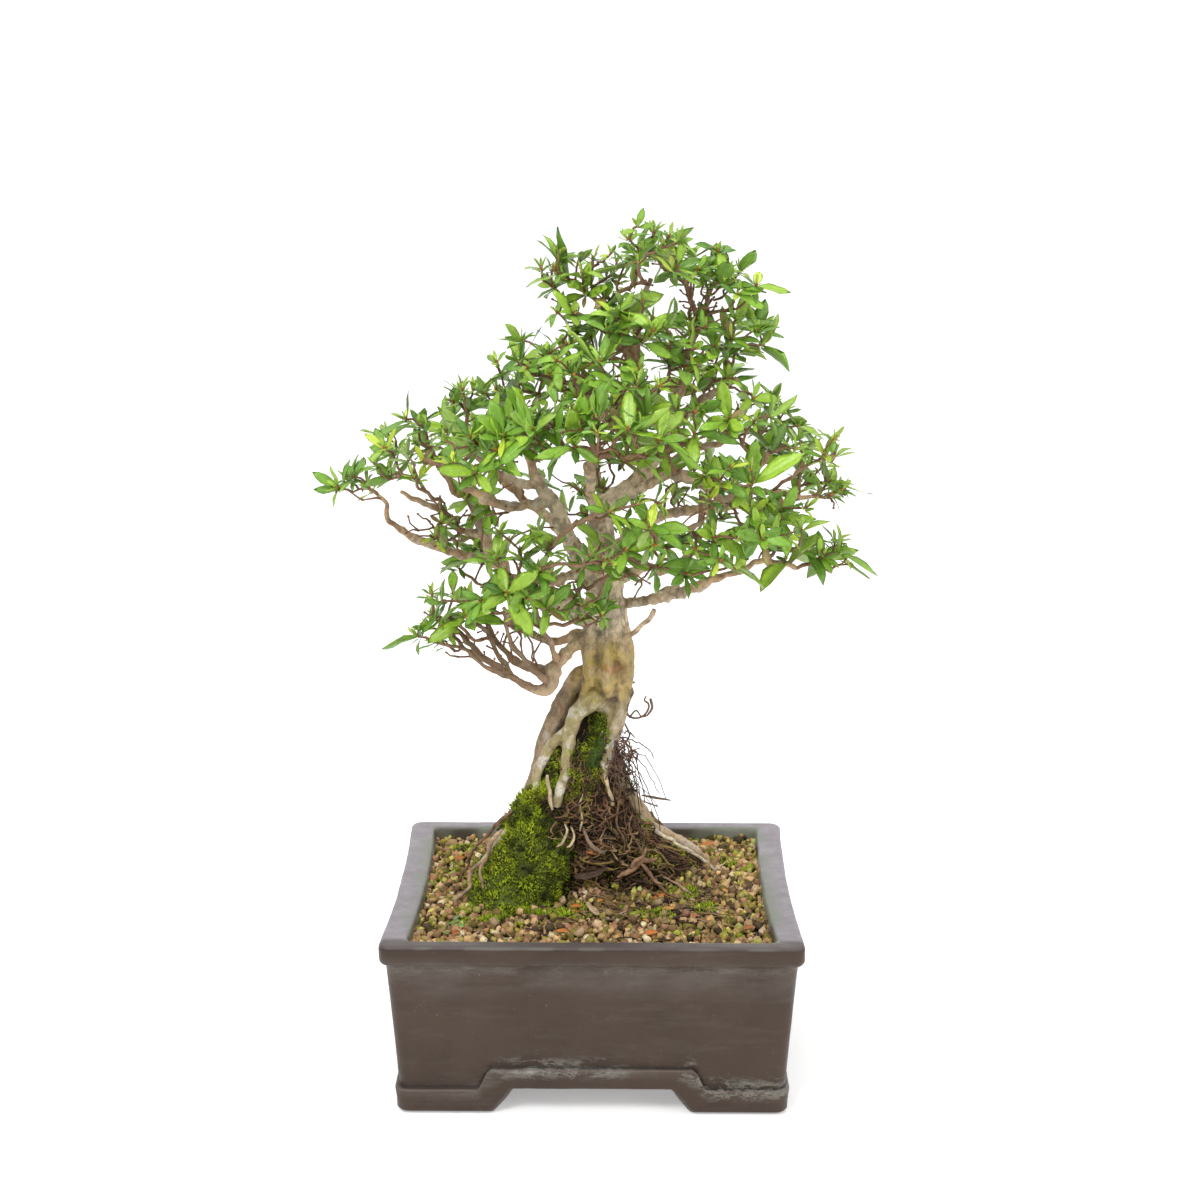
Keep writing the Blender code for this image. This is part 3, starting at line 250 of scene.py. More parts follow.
# Pads of leaves: centre, half sizes and how many sprigs the CAD has there
FOLIAGE = {
    "apex_front": ((33, -8, 503), (22, 18, 17), 4),
    "apex_back": ((44, 48, 499), (22, 18, 15), 4),
    "apex_left": ((3, 14, 490), (18, 16, 15), 4),
    "apex_left_tip": ((-20, 20, 491), (15, 12, 12), 3),
    "apex_right": ((66, 12, 491), (18, 16, 13), 4),
    "apex_right_tip": ((83, 8, 484), (12, 12, 10), 2),
    "upper_left": ((-4, 6, 468), (20, 16, 13), 4),
    "upper_front": ((22, -28, 464), (20, 16, 15), 4),
    "upper_back": ((28, 66, 450), (24, 18, 17), 4),
    "upper_right": ((56, -6, 450), (20, 18, 15), 4),
    "upper_right_tip": ((90, 18, 451), (18, 16, 13), 4),
    "upper_right_back": ((73, 68, 420), (22, 18, 15), 4),
    "shoulder_left": ((-31, -2, 438), (24, 17, 15), 4),
    "shoulder_left_back": ((-37, 68, 418), (24, 18, 16), 4),
    "shoulder_middle": ((-4, -38, 437), (20, 16, 15), 4),
    "shoulder_centre": ((25, -56, 432), (22, 16, 15), 4),
    "left_upper": ((-68, 10, 418), (22, 18, 14), 4),
    "left_upper_front": ((-48, -52, 409), (22, 17, 15), 4),
    "left_outer": ((-105, 16, 393), (22, 18, 17), 4),
    "left_outer_front": ((-113, -22, 384), (20, 15, 13), 3),
    "left_tip": ((-144, 15, 363), (12, 9, 8), 2),
    "left_inner": ((-71, -48, 393), (22, 16, 15), 4),
    "left_inner_back": ((-88, 64, 381), (24, 18, 16), 4),
    "centre_left": ((-26, -62, 410), (22, 15, 16), 4),
    "centre": ((2, -84, 416), (22, 15, 16), 4),
    "centre_back": ((-3, 86, 389), (24, 15, 18), 4),
    "centre_right": ((32, -78, 407), (22, 16, 16), 4),
    "right_upper": ((61, -44, 412), (20, 16, 15), 4),
    "right_shoulder": ((98, 4, 404), (22, 18, 15), 4),
    "right_shoulder_back": ((106, 58, 392), (24, 18, 17), 4),
    "right_outer": ((128, 6, 383), (22, 17, 15), 4),
    "right_outer_back": ((133, 42, 360), (20, 15, 14), 3),
    "right_tip": ((144, 14, 360), (8, 7, 7), 2),
    "right_middle": ((74, -52, 379), (22, 15, 14), 4),
    "right_hanging": ((107, -26, 350), (20, 15, 16), 4),
    "right_low_tip": ((146, 4, 321), (12, 11, 10), 2),
    "right_low": ((76, -50, 341), (24, 15, 12), 4),
    "centre_low": ((28, -80, 362), (18, 13, 14), 3),
    "centre_low_left": ((4, -74, 338), (16, 12, 12), 2),
    "left_low": ((-79, -24, 299), (24, 16, 14), 4),
    "left_low_outer": ((-95, -8, 276), (15, 12, 12), 2),
    "left_low_upper": ((-41, -50, 334), (22, 15, 17), 4),
    "left_low_front": ((-48, -62, 313), (18, 13, 12), 3),
    "trunk_sprig": ((-1, -18, 292), (9, 8, 8), 2),
    "left_low_back": ((-79, 58, 305), (24, 17, 16), 4),
    "right_back": ((67, 76, 347), (24, 17, 17), 4),
    "middle_back": ((3, 88, 336), (24, 13, 18), 4),
    "low_back": ((-23, 70, 289), (20, 15, 14), 3),
}

# Leafy tips for each CAD sprig, and bare tips for each pad
PAD_SHARE = 2.3
BARE_PER_PAD = 5

# Twiggy places between the shoots: centre, half sizes, how many leafy tips and how many bare ones
UNDERGROWTH = [
    ((-70, 0, 350), (42, 26, 22), 4, 34), ((-90, 8, 335), (26, 14, 14), 1, 20),
    ((-60, -10, 272), (34, 16, 13), 1, 46), ((-30, -20, 300), (24, 18, 16), 5, 14),
    ((4, -22, 318), (20, 14, 20), 4, 8), ((30, -36, 318), (24, 14, 14), 3, 8),
    ((60, -14, 330), (26, 18, 12), 4, 12), ((90, 6, 345), (26, 20, 16), 3, 14),
    ((118, 2, 325), (20, 10, 10), 3, 8), ((66, 10, 472), (18, 12, 16), 2, 30),
    ((60, 6, 430), (24, 18, 20), 2, 26), ((-6, 0, 445), (26, 20, 12), 3, 12),
    ((20, 10, 420), (30, 30, 18), 3, 18), ((-30, -10, 398), (30, 24, 16), 3, 18),
    ((30, -20, 388), (30, 24, 16), 4, 16), ((-60, 30, 365), (34, 24, 20), 4, 14),
    ((40, 40, 360), (34, 24, 20), 4, 12), ((0, 50, 360), (34, 24, 22), 4, 12),
]


# Large odd numbers that scatter neighbouring cells, one for each axis
CELL_SCATTER = (73856093, 19349663, 83492791)


def noise(points, size, seed=0):
    """Smooth noise from -1 to 1: hashed values at the corners of cells of that size, eased between."""
    q = np.asarray(points, float) / size + 1000.0
    base = np.floor(q).astype(np.int64)
    part = q - base
    ease = part * part * (3 - 2 * part)
    total = np.zeros(q.shape[:-1])
    for corner in range(8):
        step = np.array([corner & 1, corner >> 1 & 1, corner >> 2 & 1])
        cell = base + step
        spread = cell * CELL_SCATTER
        mixed = spread[..., 0] ^ spread[..., 1] ^ spread[..., 2] ^ (seed * 912931 + 7)
        mixed = (mixed ^ (mixed >> 13)) * 1274126177 & 0xFFFFFFFF
        value = ((mixed ^ (mixed >> 15)) & 0xFFFF) / 32767.5 - 1
        total += value * np.where(step, ease, 1 - ease).prod(-1)
    return total


def layered(points, size, seed=0, layers=3):
    """Sum of noise at halving sizes and halving weights."""
    return sum(noise(points, size / 2 ** k, seed + k) * 0.5 ** k for k in range(layers))


def noise_vectors(points, size, seed):
    """Three noises with following seeds, taken as the parts of a vector."""
    return np.stack([noise(points, size, seed + axis) for axis in range(3)], -1)


def unit(vectors):
    """Vectors divided by their lengths."""
    return vectors / np.maximum(np.linalg.norm(vectors, axis=-1, keepdims=True), 1e-9)


def smooth_step(low, high, value):
    """0 before low, 1 after high and 3 t squared less 2 t cubed between; it falls when low is over high."""
    t = np.clip((value - low) / (high - low), 0, 1)
    return t * t * (3 - 2 * t)


class Mesh:
    """Points, faces, colours and leaf coordinates gathered from many small surfaces."""

    def __init__(self):
        self.points, self.faces, self.colours, self.uvs, self.count = [], [], [], [], 0

    def add(self, points, faces, colour=(1, 1, 1), uv=None):
        """Take in a surface; its faces are arrays of corner numbers, one array for each face size."""
        points = np.asarray(points, float).reshape(-1, 3)
        self.points.append(points)
        self.faces += [np.asarray(part) + self.count for part in faces]
        self.colours.append(np.broadcast_to(np.asarray(colour, float), points.shape))
        self.uvs.append(np.zeros((len(points), 2)) if uv is None else uv)
        self.count += len(points)

    def build(self, name, material, slot, replaced=()):
        """Make the finished piece, in metres, with its tint and its blade coordinates."""
        points, colours = np.concatenate(self.points), np.concatenate(self.colours)
        sizes = np.concatenate([np.full(len(part), part.shape[1]) for part in self.faces])
        corners = np.concatenate([part.ravel() for part in self.faces])
        mesh = bpy.data.meshes.new(name)
        mesh.vertices.add(len(points))
        mesh.vertices.foreach_set("co", (points * MM).ravel())
        mesh.loops.add(len(corners))
        mesh.loops.foreach_set("vertex_index", corners.astype(np.int32))
        mesh.polygons.add(len(sizes))
        starts = np.concatenate([[0], np.cumsum(sizes)[:-1]])
        mesh.polygons.foreach_set("loop_start", starts.astype(np.int32))
        mesh.update(calc_edges=True)
        mesh.polygons.foreach_set("use_smooth", np.ones(len(sizes), bool))
        paint(mesh, colours)
        uv_map = mesh.uv_layers.new(name="blade")
        uv_map.data.foreach_set("uv", np.concatenate(self.uvs)[corners].ravel())
        return finish_piece(name, mesh, material, replaced)


def paint(mesh, colours):
    """Store one colour for each point as the attribute that the materials read."""
    tint = mesh.color_attributes.new("tint", "FLOAT_COLOR", "POINT")
    tint.data.foreach_set("color", np.column_stack([colours, np.ones(len(colours))]).ravel())


def link_object(name, data):
    """A new object for the data, in the scene."""
    obj = bpy.data.objects.new(name, data)
    bpy.context.scene.collection.objects.link(obj)
    return obj


def plain_mesh(name, points, faces):
    """A bare mesh in metres from points in millimetres and arrays of faces."""
    mesh = bpy.data.meshes.new(name)
    corners = [list(map(int, face)) for part in faces for face in part]
    mesh.from_pydata((np.asarray(points) * MM).tolist(), [], corners)
    return mesh


def with_modifiers(obj):
    """A new mesh of the object with its modifiers applied."""
    return bpy.data.meshes.new_from_object(obj.evaluated_get(bpy.context.evaluated_depsgraph_get()))


def finish_piece(name, mesh, material, replaced=()):
    """An object for a finished mesh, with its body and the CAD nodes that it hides."""
    obj = link_object(name, mesh)
    mesh.materials.append(material)
    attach(obj, "root")
    if replaced:
        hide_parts(*replaced)
    return obj


def spline(rows, spacing):
    """Catmull-Rom curve through rows of x, y, z, radius, resampled at even steps."""
    rows = np.asarray(rows, float)
    ends = np.vstack([2 * rows[0] - rows[1], rows, 2 * rows[-1] - rows[-2]])
    t = np.linspace(0, 1, 12, endpoint=False)[None, :, None]
    a, b, c, d = (ends[k:len(ends) - 3 + k, None, :] for k in range(4))
    squared, cubed = (2 * a - 5 * b + 4 * c - d) * t ** 2, (3 * b - a - 3 * c + d) * t ** 3
    curve = 0.5 * (2 * b + (c - a) * t + squared + cubed)
    curve = np.vstack([curve.reshape(-1, rows.shape[1]), rows[-1:]])
    along = np.concatenate([[0], np.cumsum(np.linalg.norm(np.diff(curve[:, :3], axis=0), axis=1))])
    steps = np.linspace(0, along[-1], max(3, int(along[-1] / spacing) + 1))
    return np.column_stack([np.interp(steps, along, curve[:, k]) for k in range(curve.shape[1])])


def split(curve):
    """A curve's places and its radii."""
    return curve[:, :3], curve[:, 3]


def grid_quads(grid):
    """Quads between neighbours in a grid of point numbers, facing rows across columns."""
    return np.stack([grid[:-1, :-1], grid[1:, :-1], grid[1:, 1:], grid[:-1, 1:]], -1).reshape(-1, 4)


def end_caps(rings, sides):
    """Triangles that close a stack of rings at its first ring and at its last, each round a middle point
    that comes after the rings' own points: first the low one, then the high one."""
    k = np.arange(sides)
    after = (k + 1) % sides
    middle, tail = rings * sides, (rings - 1) * sides
    low = np.stack([np.full(sides, middle), after, k], -1)
    high = np.stack([np.full(sides, middle + 1), tail + k, tail + after], -1)
    return [low, high]


def ring_faces(rings, sides):
    """Quads between neighbouring closed rings of a grid, facing out when the rings turn about the path."""
    k = np.arange(sides)
    here = (np.arange(rings - 1) * sides)[:, None]
    after = (k + 1) % sides
    return np.stack([here + k, here + after, here + sides + after, here + sides + k], -1).reshape(-1, 4)


def tube(path, radii, sides=8, lumps=0.0, seed=0, blunt=0.4):
    """Circles of the given radii carried along a path, each across the path's direction and made
    uneven by noise, and closed at both ends by a low cone."""
    path = np.asarray(path, float)
    radii = np.broadcast_to(np.asarray(radii, float), len(path))
    way = unit(np.gradient(path, axis=0))
    aside = np.eye(3)[np.argmin(np.abs(way).max(0))]
    side = unit(aside - (way @ aside)[:, None] * way)
    across = np.cross(way, side)
    turn = np.linspace(0, 2 * np.pi, sides, endpoint=False)
    out = np.cos(turn)[None, :, None] * side[:, None] + np.sin(turn)[None, :, None] * across[:, None]
    size = radii[:, None]
    if lumps:
        size = size * (1 + lumps * layered(path[:, None] + out * size[..., None], 5.0, seed, 2))
    ring = path[:, None] + out * size[..., None]
    first, last = path[0] - way[0] * radii[0] * blunt, path[-1] + way[-1] * radii[-1] * blunt
    points = np.concatenate([ring.reshape(-1, 3), first[None], last[None]])
    return points, [ring_faces(len(path), sides), *end_caps(len(path), sides)]


def on_ellipses(table, height, turn, off=0.0):
    """The point of a table's surface at a height and angle, moved out by off; angle 0 faces +X."""
    table = np.asarray(table, float)
    x, y, rx, ry = (np.interp(height, table[:, 0], table[:, k]) for k in range(1, 5))
    x, y = x + (rx + off) * np.cos(turn), y + (ry + off) * np.sin(turn)
    return np.stack([x, y, np.asarray(height) + 0 * turn], -1)


def lumpy(table, height, turn, lumps, seed, size, off=0.0):
    """The same point pushed in or out by layered noise."""
    place = on_ellipses(table, height, turn)
    push = lumps * layered(place, size, seed, 4) + off
    return place + push[..., None] * np.stack([np.cos(turn), np.sin(turn), 0 * turn], -1)


def loft_table(table, sides, spacing, lumps, seed, size):
    """Rings of a lumpy table surface from its first height to its last, closed by low cones."""
    first, last = table[0][0], table[-1][0]
    heights = np.linspace(first, last, int((last - first) / spacing) + 1)[:, None]
    turn = np.linspace(0, 2 * np.pi, sides, endpoint=False)[None, :] + 0 * heights
    grid = lumpy(table, heights + 0 * turn, turn, lumps, seed, size)
    foot, top = grid[0].mean(0), grid[-1].mean(0) + (0, 0, 2.0)
    points = np.concatenate([grid.reshape(-1, 3), foot[None], top[None]])
    return points, [ring_faces(len(heights), sides), *end_caps(len(heights), sides)]


# Materials


def new_material(name, roughness, specular=0.5):
    """A Principled material with its roughness and its specular level set."""
    material = bpy.data.materials.new(name)
    material.use_nodes = True
    shader = material.node_tree.nodes["Principled BSDF"]
    shader.inputs["Roughness"].default_value = roughness
    shader.inputs["Specular IOR Level"].default_value = specular
    return material


class Nodes:
    """Short names for the nodes that every material here is made from."""

    def __init__(self, material):
        self.tree = material.node_tree
        self.shader = self.tree.nodes["Principled BSDF"]
        self.place = self.add("ShaderNodeTexCoord").outputs["Object"]

    def add(self, kind, **settings):
        """A new node of that kind with its settings."""
        node = self.tree.nodes.new(kind)
        for key, value in settings.items():
            setattr(node, key, value)
        return node

    def link(self, source, socket):
        """Join an output, a number or a colour to a socket."""
        if isinstance(source, (int, float)):
            socket.default_value = source
        elif isinstance(source, tuple):
            socket.default_value = (*source, 1.0) if len(source) == 3 and socket.type == "RGBA" else source
        else:
            self.tree.links.new(source, socket)

    def stretched(self, stretch):
        """Object coordinates multiplied by the stretch on each axis."""
        moved = self.add("ShaderNodeMapping")
        self.link(self.place, moved.inputs["Vector"])
        moved.inputs["Scale"].default_value = stretch
        return moved.outputs["Vector"]

    def noise(self, scale, detail=4.0, roughness=0.6, stretch=(1, 1, 1)):
        """Cloudy noise, 0 to 1, with scale waves to a metre."""
        node = self.add("ShaderNodeTexNoise")
        self.link(self.stretched(stretch), node.inputs["Vector"])
        node.inputs["Scale"].default_value = scale
        node.inputs["Detail"].default_value = detail
        node.inputs["Roughness"].default_value = roughness
        return node.outputs["Fac"]

    def cells(self, scale, feature="F1"):
        """Distance to the nearest of scattered points."""
        node = self.add("ShaderNodeTexVoronoi", feature=feature)
        self.link(self.place, node.inputs["Vector"])
        node.inputs["Scale"].default_value = scale
        return node.outputs["Distance"]

    def spread(self, value, low, high, to_low=0.0, to_high=1.0):
        """The value's range from low to high stretched to a new range, and held at its ends."""
        node = self.add("ShaderNodeMapRange")
        for socket, source in zip(node.inputs, (value, low, high, to_low, to_high)):
            self.link(source, socket)
        return node.outputs["Result"]

    def maths(self, operation, a, b):
        """One sum on two values."""
        node = self.add("ShaderNodeMath", operation=operation)
        self.link(a, node.inputs[0])
        self.link(b, node.inputs[1])
        return node.outputs["Value"]

    def off(self, value, centre):
        """How far the value is from a centre, either way."""
        return self.maths("ABSOLUTE", self.maths("SUBTRACT", value, centre), 0.0)

    def mix(self, share, a, b, blend="MIX"):
        """Colour a with a share of colour b."""
        node = self.add("ShaderNodeMix", data_type="RGBA", blend_type=blend)
        self.link(share, node.inputs["Factor"])
        self.link(a, node.inputs["A"])
        self.link(b, node.inputs["B"])
        return node.outputs["Result"]

    def shaded(self, colour, shade):
        """The colour multiplied by one value."""
        grey = self.add("ShaderNodeCombineColor")
        for socket in grey.inputs:
            self.link(shade, socket)
        return self.mix(1.0, colour, grey.outputs["Color"], "MULTIPLY")

    def tint(self):
        """The piece's painted colour."""
        return self.add("ShaderNodeVertexColor", layer_name="tint").outputs["Color"]

    def axes(self, vector):
        """The three parts of a vector."""
        parts = self.add("ShaderNodeSeparateXYZ")
        self.link(vector, parts.inputs[0])
        return parts.outputs

    def finish(self, colour, roughness=None, bump=None, strength=0.3, distance=0.0006):
        """Join colour, roughness and a raised pattern to the shader."""
        self.link(colour, self.shader.inputs["Base Color"])
        if roughness is not None:
            self.link(roughness, self.shader.inputs["Roughness"])
        if bump is not None:
            node = self.add("ShaderNodeBump")
            node.inputs["Strength"].default_value = strength
            node.inputs["Distance"].default_value = distance
            self.link(bump, node.inputs["Height"])
            self.link(node.outputs["Normal"], self.shader.inputs["Normal"])


def clay_material():
    """Dark brown unglazed clay with a satin skin: smoky streaks, grey worn edges, limy water marks, a painted
    sheen on the rim's top and a painted highlight over a painted shade line at the band's top edge.
    """
    material = new_material("brown_clay", 0.45, 0.3)
    n = Nodes(material)
    body = n.mix(n.spread(n.noise(22, 5), 0.3, 0.7), (0.041, 0.0245, 0.0155), (0.060, 0.037, 0.0245))
    streak = n.noise(42, 7, 0.72, stretch=(0.4, 0.4, 2.6))
    body = n.mix(n.spread(streak, 0.53, 0.78, 0, 0.45), body, (0.10, 0.080, 0.066))
    parts = n.axes(n.place)
    below_lip = n.spread(n.off(parts["Z"], 0.091), 0.004, 0.016, 0.55, 0.0)
    haze = n.maths("MULTIPLY", below_lip, n.spread(n.noise(26, 5, 0.6, stretch=(0.6, 0.6, 1.4)), 0.38, 0.6))
    body = n.mix(haze, body, (0.115, 0.098, 0.084))
    painted = n.add("ShaderNodeSeparateColor")
    n.link(n.tint(), painted.inputs[0])
    clean, near_band = painted.outputs["Red"], painted.outputs["Green"]
    lip = n.spread(n.off(parts["Z"], 0.0975), 0.001, 0.006, 0.22, 0.0)
    drawn = n.noise(38, 8, 0.68, stretch=(0.5, 0.5, 1.3))
    vein = n.spread(n.off(drawn, 0.5), 0.003, 0.02, 0.6, 0.0)
    cloud = n.spread(n.noise(75, 9, 0.75, stretch=(0.5, 0.5, 1.5)), 0.50, 0.66)
    lime = n.maths("MAXIMUM", vein, cloud)
    lime = n.maths("MULTIPLY", lime, n.maths("MAXIMUM", near_band, lip))
    body = n.mix(n.maths("MULTIPLY", lime, 0.9), body, (0.35, 0.36, 0.31))
    # Blue paints light on the band's top edge: a painted highlight over 0.5 and a painted shade line under it
    edge = painted.outputs["Blue"]
    body = n.mix(n.spread(edge, 0.5, 1.0, 0.0, 0.6), body, (0.17, 0.14, 0.12))
    body = n.mix(n.spread(edge, 0.0, 0.5, 0.8, 0.0), body, (0.012, 0.008, 0.006))
    specks = n.spread(n.noise(620, 2, 0.5), 0.72, 0.78, 0, 0.5)
    body = n.mix(specks, body, (0.22, 0.19, 0.16))
    # Painted sheen: the rim's top is painted a pale grey-lavender where light glances off it, and the front
    # strip of the top is kept dark brown
    top = n.mix(n.spread(n.noise(120, 5), 0.35, 0.7), (0.24, 0.215, 0.235), (0.32, 0.292, 0.322))
    top = n.mix(n.spread(parts["Y"], -0.091, -0.086, 0.85, 0.0), top, (0.075, 0.057, 0.050))
    body = n.mix(n.spread(parts["Z"], 0.1102, 0.1116), body, top)
    body = n.mix(n.spread(clean, 0.15, 0.9), (0.22, 0.235, 0.19), body)
    grain = n.maths("ADD", n.noise(900, 3), n.maths("MULTIPLY", n.noise(60, 3), 1.6))
    n.finish(body, n.spread(n.noise(90, 5), 0.3, 0.7, 0.33, 0.55), grain, 0.25, 0.0005)
    return material


def tinted_material(name, roughness, fine, low, high, bump, distance, stretch=(1, 1, 1)):
    """The piece's own tint, darkened to low and lightened to high by grain of the given scale, with the
    same grain raised."""
    material = new_material(name, roughness, 0.35)
    n = Nodes(material)
    grain = n.noise(fine, 5, 0.65, stretch=stretch)
    colour = n.shaded(n.tint(), n.spread(grain, 0.3, 0.7, low, high))
    n.finish(colour, None, grain, bump, distance)
    return material


def bark_material():
    """Thin smooth azalea bark: the painted tint, freckles of pale and dark, and fine flakes raised."""
    material = new_material("azalea_bark", 0.72, 0.3)
    n = Nodes(material)
    colour = n.tint()
    freckle = n.spread(n.noise(420, 6, 0.7, stretch=(1, 1, 0.55)), 0.36, 0.66)
    colour = n.mix(n.maths("MULTIPLY", freckle, 0.2), colour, (0.50, 0.43, 0.33))
    dark = n.spread(n.noise(230, 7, 0.78), 0.53, 0.68)
    colour = n.mix(n.maths("MULTIPLY", dark, 0.5), colour, (0.085, 0.055, 0.03))
    wave = n.noise(95, 7, 0.7, stretch=(1.3, 1.3, 0.5))
    crack = n.maths("MULTIPLY", n.spread(wave, 0.485, 0.505), n.spread(wave, 0.505, 0.525, 1.0, 0.0))
    colour = n.mix(n.maths("MULTIPLY", crack, 0.5), colour, (0.07, 0.048, 0.03))
    fine = n.noise(300, 6, 0.7, stretch=(1, 1, 0.5))
    flakes = n.maths("ADD", fine, n.maths("MULTIPLY", n.cells(330), 0.35))
    n.finish(colour, n.spread(n.noise(200, 3), 0.3, 0.7, 0.6, 0.85), flakes, 0.8, 0.0012)
    return material


def leaf_material():
    """Soft satin leaf: the leaf's own green with a mottle, a pale midrib and edge, and faint side veins."""
    material = new_material("azalea_leaf", 0.40, 0.5)
    n = Nodes(material)
    parts = n.axes(n.add("ShaderNodeUVMap", uv_map="blade").outputs["UV"])
    along, off = parts["X"], n.off(parts["Y"], 0.5)
    rib = n.spread(off, 0.015, 0.06, 1.0, 0.0)
    slant = n.maths("SUBTRACT", n.maths("MULTIPLY", along, 7.0), n.maths("MULTIPLY", off, 5.0))
    vein = n.spread(n.maths("PINGPONG", slant, 0.5), 0.0, 0.09, 0.3, 0.0)
    colour = n.shaded(n.tint(), n.spread(n.noise(420, 4), 0.3, 0.7, 0.80, 1.18))
    edge = n.spread(off, 0.40, 0.5, 0.0, 0.35)
    colour = n.mix(edge, colour, (0.34, 0.50, 0.10))
    lines = n.maths("MAXIMUM", n.maths("MULTIPLY", rib, 0.5), n.maths("MULTIPLY", vein, 0.5))
    colour = n.mix(lines, colour, (0.30, 0.46, 0.10))
    satin = n.spread(n.noise(300, 3), 0.3, 0.7, 0.26, 0.42)
    n.finish(colour, satin, n.maths("SUBTRACT", 1.0, lines), 0.5, 0.0005)
    return material


# The pot


def rim_path():
    """Rows of ax, cx, ay, cy that go once round a rounded rectangle of half sizes hx, hy and corner radius
    r: x = ax (hx - r) + r cx and y = ay (hy - r) + r cy."""
    quarter = np.linspace(0, 1, 9)[:, None] * np.pi / 2
    long_side, short_side = (np.linspace(-1, 1, count)[1:-1, None] for count in (101, 81))
    runs = []
    for turns, (sx, sy) in enumerate(((1, 1), (-1, 1), (-1, -1), (1, -1))):
        angle = turns * np.pi / 2 + quarter
        ones = np.ones_like(angle)
        runs.append(np.hstack([sx * ones, np.cos(angle), sy * ones, np.sin(angle)]))
        run = short_side if turns % 2 else long_side
        ones, nought = np.ones_like(run), 0 * run
        if turns % 2:
            runs.append(np.hstack([sx * ones, sx * ones, sx * run, nought]))
        else:
            runs.append(np.hstack([-sy * run, nought, sy * ones, sy * ones]))
    return np.vstack(runs)


def pot_ring(path, half, radius, height, bow=0.0):
    """One turn round the rim's path at a height; the short sides bow in by 1 less the square of y over
    its half size."""
    half_x, half_y = half
    x = path[:, 0] * (half_x - radius) + radius * path[:, 1]
    y = path[:, 2] * (half_y - radius) + radius * path[:, 3]
    on_short_side = smooth_step(half_x * 0.8, half_x, np.abs(x))
    x = x - np.sign(x) * bow * np.clip(1 - (y / half_y) ** 2, 0, 1) * on_short_side
    return np.stack([x, y, np.broadcast_to(height, x.shape)], -1)


POT_INSIDE = (POT_HALF[0] - RIM_SIDE, POT_HALF[1] - RIM_FRONT)


def pot_rings(path):
    """The pot's profile as rings: from the floor's underside out to the foot, up the wall, over the rim and
    down inside. The foot rises over the four arches by a share of how far a place reaches into one, and
    the raised band steps up between the feet. Also the height of the band's top along the path."""
    nominal = np.abs(pot_ring(path, FOOT_HALF, CORNER_RADIUS, 0))
    along_x = nominal[:, 1] > FOOT_HALF[1] - 2
    reach = np.where(along_x, ARCH_HALF[0] - nominal[:, 0], ARCH_HALF[1] - nominal[:, 1])
    base = np.clip(reach / ARCH_SLANT, 0, 1) * ARCH_TOP
    band = BAND_LOW + (BAND_HIGH - BAND_LOW) * smooth_step(-7.5, 1.5, reach)
    slope = [(POT_HALF[k] - LIP_OVERHANG - FOOT_HALF[k]) / LIP_LOW for k in (0, 1)]

    def wall(height, proud, bow=0.0):
        """A ring on the sloping wall, standing proud of it."""
        half = [FOOT_HALF[k] + slope[k] * height + proud for k in (0, 1)]
        return pot_ring(path, half, CORNER_RADIUS, height, bow)

    def grown(sizes, more, radius, height, bow=SIDE_BOW):
        """A ring with half sizes larger by the same amount both ways."""
        return pot_ring(path, [half + more for half in sizes], radius, height, bow)

    under = [half - FOOT_WALL for half in FOOT_HALF]
    rings = [
        grown(under, 0, 4, FLOOR_UNDERSIDE, 0), grown(under, 0, 4, base + 0.1, 0),
        grown(under, 0.6, 4.5, base, 0),
    ]
    foot_and_band = [
        (base, -1.4), (base + 0.5, -0.1), (base + 1.8, BAND_PROUD * 0.8), (base + 3.0, BAND_PROUD),
        ((base + band) / 2, BAND_PROUD * 0.92), (band - 1.3, BAND_PROUD), (band - 0.45, BAND_PROUD * 0.95),
        (band, BAND_PROUD * 0.6), (band + 0.25, 0.05), (band + 0.8, -0.25), (band + 2.2, 0.0),
    ]
    rings += [wall(height, proud) for height, proud in foot_and_band]
    wall_bow = SIDE_BOW * 0.7
    for share in np.linspace(0.1, 0.9, 7):
        rings.append(wall(band + 2 + (LIP_LOW - band - 6) * share, 0, wall_bow * share))
    rings += [wall(LIP_LOW - below, proud, wall_bow) for below, proud in ((3.0, 0.0), (1.0, 0.1), (0.0, 0.5))]
    lip = [
        (2.6, LIP_LOW + 0.5), (1.0, LIP_LOW + 1.3), (0.25, LIP_LOW + 2.6), (0.0, LIP_LOW + 4.2),
        (0.05, LIP_LOW + 7), (0.0, POT_HEIGHT - 2.6), (0.3, POT_HEIGHT - 1.2), (1.0, POT_HEIGHT - 0.35),
        (2.2, POT_HEIGHT), (4.5, POT_HEIGHT - 0.1),
    ]
    rings += [grown(POT_HALF, -inward, CORNER_RADIUS, height) for inward, height in lip]
    well = [(2.6, 0.15), (1.2, 0.25), (0.3, 0.8), (-0.4, 1.8), (-1.0, 3.5), (-1.4, 9), (-2.2, 20)]
    rings += [grown(POT_INSIDE, outward, 5, POT_HEIGHT - below) for outward, below in well]
    rings.append(pot_ring(path, (POT_INSIDE[0] - 8, POT_INSIDE[1] - 7), 6, FLOOR_TOP))
    return np.array(rings), band


# The rings outside the pot, the first one at the band's top edge, and the painted highlight and painted shade
# across that edge: pale over 0.5, dark under it
OUTSIDE_RINGS = 22
BAND_EDGE_RING = 8
BAND_EDGE_HIGHLIGHT_AND_SHADE = (0.65, 1.0, 0.8, 0.0, 0.1, 0.4)


